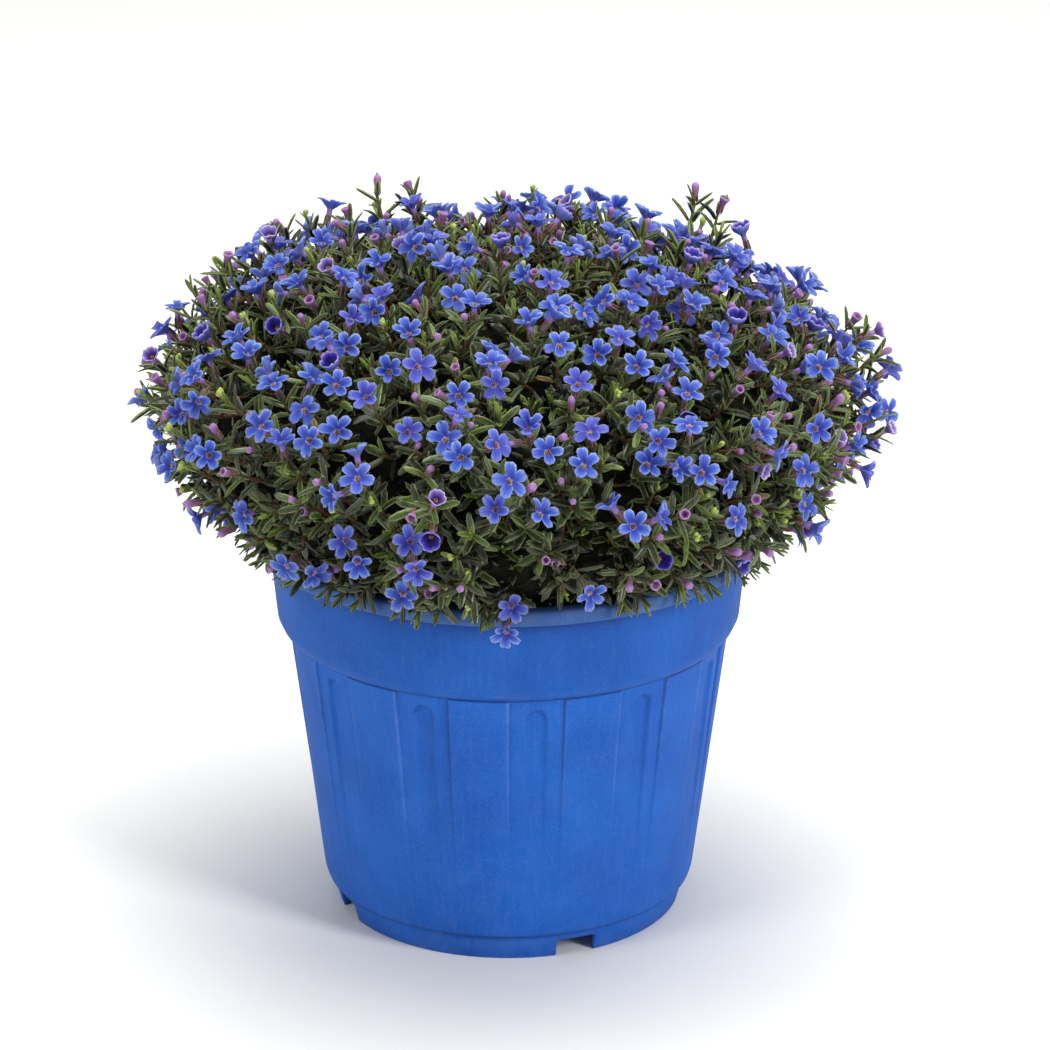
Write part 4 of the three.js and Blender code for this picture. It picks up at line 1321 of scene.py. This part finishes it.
# Bristly evergreen leaf: deep green with a grey bloom of short hairs that catches light from the side,
# and pale rims. Young ones are yellow-green, and the few withered ones are brown. Leaves inside the
# bush and low on it are painted darker, as painted shade, and show less of their rims.
leaf_skin, tree = new_material("bristly_leaf")
where = put(tree, "TexCoord").outputs["Object"]
paint = put(tree, "Attribute", attribute_name="paint")
tone, youth, edge = put(tree, "SeparateColor", {"Color": paint}).outputs
half_tone = put(tree, "Math", {0: tone, 1: 0.5}, operation="MULTIPLY")
greens = put(tree, "ValToRGB", {"Fac": half_tone}, {
    0: "#080D02", 0.15: "#122003", 0.3: "#233C05", 0.5: "#44620E", 0.9: "#6B4020",
})
aged = put(tree, "Mix", {"Factor": youth, "A": greens, "B": "#8DAA24"}, data_type="RGBA")
hairs = put(tree, "TexNoise", {"Vector": where, "Scale": per(0.5), "Detail": 5})
hairy = put(tree, "MapRange", {"Value": hairs, "From Min": 0.48, "From Max": 0.72, "To Max": 0.27})
rim = put(tree, "MapRange", {"Value": edge, "From Min": 0.55})
pale = put(tree, "Math", {0: rim, 1: hairy}, operation="MAXIMUM")
# In painted shade the pale rims and hairs show less.
out_of_shade = put(tree, "MapRange", {"Value": tone, "From Max": 0.55, "To Min": 0.08})
shown = put(tree, "Math", {0: pale, 1: out_of_shade}, operation="MULTIPLY")
haired = put(tree, "Mix", {"Factor": shown, "A": aged, "B": "#AEB974"}, data_type="RGBA")
blade = put(tree, "BsdfPrincipled", {
    "Base Color": haired,
    "Roughness": 0.36,
    "Normal": put(tree, "Bump", {"Height": hairs, "Strength": 0.6, "Distance": 0.12 * MM}),
    "Sheen Weight": 0.14,
    "Sheen Roughness": 0.35,
    "Sheen Tint": "#DDE4BC",
    "Specular IOR Level": 0.7,
})
glow = put(tree, "BsdfTranslucent", {"Color": aged})
leafy = put(tree, "MixShader", {0: 0.12, 1: blade, 2: glow})
put(tree, "OutputMaterial", {"Surface": leafy})

# Twig bark: green and smooth when young, then reddish brown and finely ridged.
bark, tree = new_material("twig_bark")
where = put(tree, "TexCoord").outputs["Object"]
paint = put(tree, "Attribute", attribute_name="paint")
_, age, _ = put(tree, "SeparateColor", {"Color": paint}).outputs
bark_browns = {0: "#6C7C3C", 0.3: "#8A5A35", 0.7: "#5E3A26", 1: "#3F2C20"}
browns = put(tree, "ValToRGB", {"Fac": age}, bark_browns)
ridges = put(tree, "TexNoise", {"Vector": where, "Scale": per(0.9), "Detail": 6})
ridged = put(tree, "Mix", {"Factor": ridges, "A": browns, "B": "#2B1E15"}, data_type="RGBA")
rough_bark = put(tree, "Bump", {"Height": ridges, "Distance": 0.3 * MM})
wood = put(tree, "BsdfPrincipled", {"Base Color": ridged, "Roughness": 0.75, "Normal": rough_bark})
put(tree, "OutputMaterial", {"Surface": wood})

# Blooms: five rounded lobes spread from a slim tube that a bristly calyx holds. The throat has a
# white ring with five cream anthers. Younger ones are violet or lilac cups and closed pink buds.

COLUMN_TURNS = (-1, -0.88, -0.66, -0.35, 0, 0.35, 0.66, 0.88)
OPEN = {"notch": 0.4, "start": math.radians(24), "turned": 0.35, "recurve": 0.17, "curl": 0.75}
CUPPED = {"notch": 0.7, "start": math.radians(64), "turned": 0.9, "recurve": 0, "curl": 0.1}
OPEN["backs"], CUPPED["backs"] = (0.6,), (0.75, 0.45, 0.2)
LOBE_POWER = 2.5
LOBE_SWAY = 0.08
LOBE_SIZES = (0.87, 1.05)
LOBE_STRETCH = 1.12
LOBE_CREASE, LOBE_CUPPING = 0.4, 0.75
PETAL_THICKNESS = 0.16
THROAT_RADIUS = 0.85
THROAT_DEPTH = 1.5
THROAT_PAINT = 0.12
THROAT_RING, BACK_RING = (0.65, -1.9), (THROAT_RADIUS + 0.15, -2.1)
ANTHER_REACH = 0.45
CALYX_TIP, CALYX_GIRTH = -3.0, 0.6
SEPAL_RISE, SEPAL_LEAN, SEPAL_BREADTH = 0.985, 0.17, 0.75
BACK_PAINT = 2
LIMB_STEPS = 24
LIMB_SHARES = (0.1, 0.3, 0.55, 0.8, 1.0)
TUBE_LINE = ((0.95, -2), (0.9, -3.8), (0.7, -6.2))
PETAL, TUBE, CALYX, ANTHER = range(4)


def limb_line(growth, spread, length, shares):
    """Radius and height of points at shares of a lobe's length, as it bends to its spread."""
    steps = np.linspace(0, 1, LIMB_STEPS + 1)
    turns = growth["start"] + (spread - growth["start"]) * smooth_step(0, growth["turned"], steps)
    turns += growth["recurve"] * steps**3
    middle = (turns[1:] + turns[:-1]) / 2
    radius = THROAT_RADIUS + np.concatenate([[0], np.cumsum(np.sin(middle))]) * length / LIMB_STEPS
    height = -THROAT_DEPTH + np.concatenate([[0], np.cumsum(np.cos(middle))]) * length / LIMB_STEPS
    return np.interp(shares, steps, radius), np.interp(shares, steps, height)


def corolla(radius, growth, spread, chance):
    """A corolla round Z as rings from its throat's inside to its back, and its paint.

    The paint holds how far a point is towards the lobe's edge, and how far off its midline.
    """
    lobe_turns = [(k + phi / 2) * 2 * math.pi / PETALS for k in range(PETALS) for phi in COLUMN_TURNS]
    turns = np.array(lobe_turns)
    phis = np.tile(COLUMN_TURNS, PETALS)
    each = len(COLUMN_TURNS)
    lobes = np.repeat(chance.uniform(*LOBE_SIZES, PETALS), each)
    limb = radius - THROAT_RADIUS
    outline = lobes * (1 - (1 - growth["notch"]) * np.abs(phis) ** LOBE_POWER)
    lengths = (outline * radius - THROAT_RADIUS) * LOBE_STRETCH
    curl = np.repeat(chance.normal(0, growth["curl"], PETALS), each)
    lobe_sways = chance.normal(0, LOBE_SWAY, PETALS)
    sway = np.repeat(lobe_sways, each)
    sway[::each] = (lobe_sways + np.roll(lobe_sways, 1)) / 2

    def ring(r, z, swung=0):
        swayed = turns + swung
        return np.stack([r * np.cos(swayed), r * np.sin(swayed), z * np.ones_like(turns)], -1)

    def limb_ring(share, sink):
        reached = share * lengths
        r, z = limb_line(growth, spread, limb, reached / limb)
        crease = -LOBE_CREASE * share * (1 - np.abs(phis)) ** 2
        cupped = curl * share**2 + LOBE_CUPPING * share * np.abs(phis) ** 2
        height = z + crease + cupped - sink * math.sin(spread)
        return ring(r + sink * math.cos(spread), height, share * sway)

    backs = [limb_ring(share, PETAL_THICKNESS) for share in growth["backs"]]
    fronts = [limb_ring(share, 0) for share in LIMB_SHARES]
    rings = np.array([ring(*THROAT_RING), *fronts, *backs, ring(*BACK_RING)])
    shares = np.array([*LIMB_SHARES, *growth["backs"], 0])
    reaches = np.concatenate([[0.03], THROAT_PAINT + (1 - THROAT_PAINT) * shares])
    paint = np.zeros(rings.shape)
    paint[..., 0] = reaches[:, None]
    paint[..., 1] = np.abs(phis)
    paint[1 + len(LIMB_SHARES) :, :, 1] = BACK_PAINT
    return rings, paint


def placed(points, head):
    """Points of a bloom about Z, moved to where it stands and turned to its facing."""
    side, front = cross_ways(head["facing"], head["reference"])
    swung = side * math.cos(head["turn"]) + front * math.sin(head["turn"])
    crossed = np.cross(head["facing"], swung)
    return head["middle"] + np.asarray(points) @ np.array([swung, crossed, head["facing"]])


def solid_of_revolution(profile, sides, flutes=0.0, twist=0.0):
    """Rings about Z from (radius, height) pairs, with five soft flutes that may wind round."""
    turns = 2 * math.pi * np.arange(sides) / sides
    rings = []
    for r, z in profile:
        fluted = r * (1 + flutes * np.cos(PETALS * (turns + twist * z)))
        rings.append(np.stack([fluted * np.cos(turns), fluted * np.sin(turns), np.full(sides, z)], -1))
    return np.array(rings)


sepal_form = leaf_form(-0.35, 0.1, INNER_STATIONS, (0.5,))
anther_rings = solid_of_revolution([(0.2, -0.25), (0.2, 0.25)], 4)
tube_rings = solid_of_revolution(TUBE_LINE, 10)


def add_calyx(batch, head, foot, tip, girth, tone):
    """Five narrow bristly sepals that stand round the tube from the foot up to the tip."""
    points, faces, edges = sepal_form
    length = tip - foot
    for k in range(PETALS):
        turn = 2 * math.pi * (k + 0.5) / PETALS
        out = np.array([math.cos(turn), math.sin(turn), 0])
        along = unit(SEPAL_RISE * UP + SEPAL_LEAN * out)
        above = unit(-out + SEPAL_LEAN * UP)
        across = np.cross(along, above)
        local = points * np.array([length * SEPAL_BREADTH, length, length])
        local = local @ np.array([across, along, above]) + girth * out + foot * UP
        paint = np.stack([np.full(len(points), tone), np.zeros(len(points)), edges], -1)
        batch.add(placed(local, head), faces, paint, CALYX)


def add_bloom(batch, head, growth, spread, tone, chance):
    """A corolla on its tube, with anthers in its throat and a calyx round its foot."""
    rings, paint = corolla(head["radius"], growth, spread, chance)
    paint[..., 2] = tone
    limb, limb_faces = lofted(rings)
    limb_paint = np.vstack([paint.reshape(-1, 3), [paint[0, 0], paint[-1, 0]]])
    batch.add(placed(limb, head), limb_faces, limb_paint, PETAL)
    tube, tube_faces = lofted(tube_rings)
    batch.add(placed(tube, head), tube_faces, (0, 0, tone), TUBE)
    for k in range(PETALS):
        turn = 2 * math.pi * (k + 0.5) / PETALS
        x, y = ANTHER_REACH * math.cos(turn), ANTHER_REACH * math.sin(turn)
        place = np.array([x, y, -THROAT_DEPTH + 0.1])
        anther, anther_faces = lofted(anther_rings + place)
        batch.add(placed(anther, head), anther_faces, (chance.random(), 0, 0), ANTHER)
    add_calyx(batch, head, -CALYX_FOOT, CALYX_TIP, CALYX_GIRTH, min(tone, 0.8))


# Radius, height and paint along a bud, from its base: closed, and just opening with a dimple.
BUD_FOOT = ((0.5, -3.6, 0), (0.8, -2.2, 0.15))
CLOSED_BUD = (*BUD_FOOT, (1.05, -0.6, 0.4), (1.3, 0.9, 0.65), (1.35, 2, 0.85), (1, 3, 1))
CLOSED_BUD += ((0.4, 3.5, 0.8),)
OPENING_BUD = (*BUD_FOOT, (1.05, -0.6, 0.35), (1.4, 0.9, 0.6), (1.75, 2.2, 0.85), (1.85, 2.9, 1))
OPENING_BUD += ((1.55, 3.15, 1), (1.05, 1.9, 0.35), (0.4, 0.7, 0))
BUD_SIDES = 15
BUD_FLUTES, BUD_TWIST = 0.07, 0.16
BUD_CALYX_FOOT, BUD_CALYX_TIP = -4.6, 0.9
BUD_SIZES, BUD_STRETCHES = (0.72, 1.02), (0.65, 1.05)
GREEN_BUD = ((0.3, -1.5), (0.75, -0.6), (0.95, 0.3), (0.7, 1.1), (0.3, 1.5))
GREEN_BUD_SIDES, GREEN_BUD_FLUTES = 8, 0.12
GREEN_BUD_SIZES = (0.6, 0.95)
GREEN_BUD_SPIN, GREEN_BUD_TILT, GREEN_BUD_LIFT = 2.1, 0.35, 2.6
MOST_GREEN_BUDS = 3
YOUNG_PAINT = 2


def add_bud(batch, head, form, size, stretch, tone):
    """A pink bud: a club of furled lobes, which wind round it, in its calyx."""
    profile = [(size * r, size * stretch * z) for r, z, _ in form]
    points, faces = lofted(solid_of_revolution(profile, BUD_SIDES, BUD_FLUTES, BUD_TWIST))
    blush = [share for _, _, share in form]
    paint = np.ones((len(points), 3))
    paint[:, 1] = np.concatenate([np.repeat(blush, BUD_SIDES), [blush[0], blush[-1]]])
    paint[:, 2] = tone
    batch.add(placed(points, head), faces, paint, TUBE)
    foot, tip, girth = BUD_CALYX_FOOT * size, BUD_CALYX_TIP * size, CALYX_GIRTH * size
    add_calyx(batch, head, foot, tip, girth, tone)


def add_green_bud(batch, head, size):
    """A bud that is still wrapped in its yellow-green sepals."""
    profile = [(size * r, size * z) for r, z in GREEN_BUD]
    points, faces = lofted(solid_of_revolution(profile, GREEN_BUD_SIDES, GREEN_BUD_FLUTES))
    batch.add(placed(points, head), faces, (YOUNG_PAINT, 1, 0), CALYX)


# A tone up to 1 turns a bloom from blue to violet blue. Cups and lilac cups have their own.
OPEN_SPREADS = (48, 84)
CUP_SHARE = 0.1
CUP_TONE = 2
CUP_SIZE = 0.88
CUP_SPREADS = (0, 16)
LILAC_SHARE = 0.16
LILAC_TONE = 3
LILAC_RADIUS = 4.2
LILAC_LIFT = 2
LILAC_SPREADS = (6, 24)
OPENING_SHARE = 0.35
chance = np.random.default_rng(29)
for head in blooms:
    if chance.random() < CUP_SHARE:
        small = head | {"radius": CUP_SIZE * head["radius"]}
        spread = math.radians(chance.uniform(*CUP_SPREADS))
        add_bloom(floral[head["branch"]], small, CUPPED, spread, CUP_TONE, chance)
    else:
        spread = math.radians(chance.uniform(*OPEN_SPREADS))
        add_bloom(floral[head["branch"]], head, OPEN, spread, chance.random(), chance)
    if head["start"] is not None:
        end = head["middle"] - (CALYX_FOOT - 0.3) * head["facing"]
        line = smooth_line([head["start"], (head["start"] + end) / 2, end], 4)
        add_stem(leafage[head["branch"]], line, [0.5, 0.5, 0.45, 0.5], 5, [0.3, 0.2, 0.2, 0.1], 0.5)
for head in buds:
    if "place" not in head and chance.random() < LILAC_SHARE:
        middle = head["middle"] + LILAC_LIFT * head["facing"]
        small = head | {"radius": LILAC_RADIUS, "middle": middle}
        spread = math.radians(chance.uniform(*LILAC_SPREADS))
        add_bloom(floral[head["branch"]], small, CUPPED, spread, LILAC_TONE, chance)
        continue
    form = OPENING_BUD if chance.random() < OPENING_SHARE else CLOSED_BUD
    size, stretch = chance.uniform(*BUD_SIZES), chance.uniform(*BUD_STRETCHES)
    add_bud(floral[head["branch"]], head, form, size, stretch, chance.random())
for twig in twigs:
    if twig["head"] != "green bud":
        continue
    reference = reference_for(twig["facing"])
    for k in range(int(chance.integers(1, MOST_GREEN_BUDS + 1))):
        facing = leaning(twig["facing"], GREEN_BUD_SPIN * k, GREEN_BUD_TILT * min(k, 1), reference)
        head = {"middle": twig["tip"] + GREEN_BUD_LIFT * facing, "facing": facing, "turn": 0}
        head["reference"] = reference_for(facing)
        add_green_bud(floral[twig["branch"]], head, chance.uniform(*GREEN_BUD_SIZES))

# Petal: thin and velvety, gentian blue with a paler rim and a darker line down each lobe, and
# white round the throat. Cups are violet and the smallest lilac. It lets some light through.
petal, tree = new_material("blue_petal")
where = put(tree, "TexCoord").outputs["Object"]
paint = put(tree, "Attribute", attribute_name="paint")
reach, aside, tone = put(tree, "SeparateColor", {"Color": paint}).outputs
blues = put(tree, "ValToRGB", {"Fac": reach}, {
    0.03: "#3E2430", 0.09: "#8E6A70", 0.13: "#E4D8E2", 0.19: "#C4BCE4", 0.26: "#5A5CC0",
    0.45: "#445CC6", 0.75: "#6686E4", 0.9: "#94AEF5", 1: "#DCE6FF",
})
midline = put(tree, "ValToRGB", {"Fac": aside}, {
    0: "#C0C0C0", 0.14: "#404040", 0.3: "#202020", 0.42: "#808080", 0.54: "#000000",
})
limb_only = put(tree, "MapRange", {"Value": reach, "From Min": 0.18, "From Max": 0.3})
lines = put(tree, "Math", {0: midline, 1: limb_only}, operation="MULTIPLY")
lined = put(tree, "Mix", {"Factor": lines, "A": blues, "B": "#3C48B2"}, data_type="RGBA")
violet = put(tree, "MapRange", {"Value": tone, "From Min": 0.6, "To Max": 0.38})
tinted = put(tree, "Mix", {"Factor": violet, "A": lined, "B": "#7F66D8"}, data_type="RGBA")
cups = put(tree, "ValToRGB", {"Fac": reach}, {
    0.05: "#8A4A50", 0.2: "#2B1C6C", 0.6: "#4438AC", 0.78: "#7468D8", 0.9: "#A89CEC", 1: "#E4DCFA",
})
is_cup = put(tree, "MapRange", {"Value": tone, "From Min": 1.2, "From Max": 1.8})
faced = put(tree, "Mix", {"Factor": is_cup, "A": tinted, "B": cups}, data_type="RGBA")
lilacs = put(tree, "ValToRGB", {"Fac": reach}, {
    0.05: "#7A3A50", 0.25: "#4A2C84", 0.5: "#8068C4", 0.75: "#B4A0E2", 1: "#F4EEFD",
})
is_lilac = put(tree, "MapRange", {"Value": tone, "From Min": 2.2, "From Max": 2.8})
fronts = put(tree, "Mix", {"Factor": is_lilac, "A": faced, "B": lilacs}, data_type="RGBA")
# The petals' backs are paler: partly their own colour, and partly painted light for their unlit side.
backs = put(tree, "Mix", {"Factor": is_lilac, "A": "#8C9AE2", "B": "#A680C6"}, data_type="RGBA")
is_back = put(tree, "MapRange", {"Value": aside, "From Min": 1.3, "From Max": 1.9, "To Max": 0.75})
coloured = put(tree, "Mix", {"Factor": is_back, "A": fronts, "B": backs}, data_type="RGBA")
veins = put(tree, "TexNoise", {"Vector": where, "Scale": per(0.7), "Detail": 4})
velvet = put(tree, "BsdfPrincipled", {
    "Base Color": coloured,
    "Roughness": 0.55,
    "Normal": put(tree, "Bump", {"Height": veins, "Strength": 0.4, "Distance": 0.1 * MM}),
    "Sheen Weight": 0.15,
    "Sheen Roughness": 0.35,
    "Sheen Tint": "#C9D2FF",
    "Specular IOR Level": 0.3,
})
through = put(tree, "BsdfTranslucent", {"Color": coloured})
thin = put(tree, "MixShader", {0: 0.45, 1: velvet, 2: through})
put(tree, "OutputMaterial", {"Surface": thin})

# Tube and bud: the furled petals are pink to lilac outside, redder towards the calyx.
bud_skin, tree = new_material("pink_bud")
where = put(tree, "TexCoord").outputs["Object"]
paint = put(tree, "Attribute", attribute_name="paint")
is_bud, blush, _ = put(tree, "SeparateColor", {"Color": paint}).outputs
bud_pinks = {0: "#552A46", 0.4: "#84506C", 0.75: "#9A5F90", 1: "#B290C8"}
pinks = put(tree, "ValToRGB", {"Fac": blush}, bud_pinks)
tubes = put(tree, "Mix", {"Factor": is_bud, "A": "#8E76C9", "B": pinks}, data_type="RGBA")
speckle = put(tree, "TexNoise", {"Vector": where, "Scale": per(0.8), "Detail": 4})
blushed = put(tree, "Mix", {"Factor": speckle, "A": tubes, "B": "#7E5090"}, data_type="RGBA")
furled = put(tree, "BsdfPrincipled", {
    "Base Color": blushed,
    "Roughness": 0.5,
    "Sheen Weight": 0.3,
    "Sheen Roughness": 0.4,
    "Sheen Tint": "#F3D9F5",
})
put(tree, "OutputMaterial", {"Surface": furled})

# Calyx: bristly green sepals, stained dark red where the sun reaches them.
sepal, tree = new_material("bristly_calyx")
where = put(tree, "TexCoord").outputs["Object"]
paint = put(tree, "Attribute", attribute_name="paint")
tone, _, _ = put(tree, "SeparateColor", {"Color": paint}).outputs
stains = put(tree, "ValToRGB", {"Fac": tone}, {0: "#4E552C", 0.45: "#6A4430", 1: "#6C3036"})
bristles = put(tree, "TexNoise", {"Vector": where, "Scale": per(0.45), "Detail": 5})
bristled = put(tree, "MapRange", {"Value": bristles, "From Min": 0.5, "From Max": 0.7, "To Max": 0.6})
bristly = put(tree, "Mix", {"Factor": bristled, "A": stains, "B": "#A09E80"}, data_type="RGBA")
is_young = put(tree, "MapRange", {"Value": tone, "From Min": 1.2, "From Max": 1.8})
wrapped = put(tree, "Mix", {"Factor": is_young, "A": bristly, "B": "#A3B252"}, data_type="RGBA")
calyx = put(tree, "BsdfPrincipled", {
    "Base Color": wrapped,
    "Roughness": 0.65,
    "Normal": put(tree, "Bump", {"Height": bristles, "Distance": 0.2 * MM}),
    "Sheen Weight": 0.4,
    "Sheen Roughness": 0.4,
})
put(tree, "OutputMaterial", {"Surface": calyx})

# Anther: powdery cream to orange pollen.
pollen, tree = new_material("pollen")
paint = put(tree, "Attribute", attribute_name="paint")
tone, _, _ = put(tree, "SeparateColor", {"Color": paint}).outputs
creams = put(tree, "ValToRGB", {"Fac": tone}, {0: "#D6C29C", 0.6: "#B27F5A", 1: "#8C5742"})
powder = put(tree, "BsdfPrincipled", {"Base Color": creams, "Roughness": 0.9})
put(tree, "OutputMaterial", {"Surface": powder})

for i, node in enumerate(branch_nodes):
    build(f"{node}_leaves", leafage[i], [leaf_skin, bark], [node])
    build(f"{node}_blooms", floral[i], [petal, bud_skin, sepal, pollen], [node])
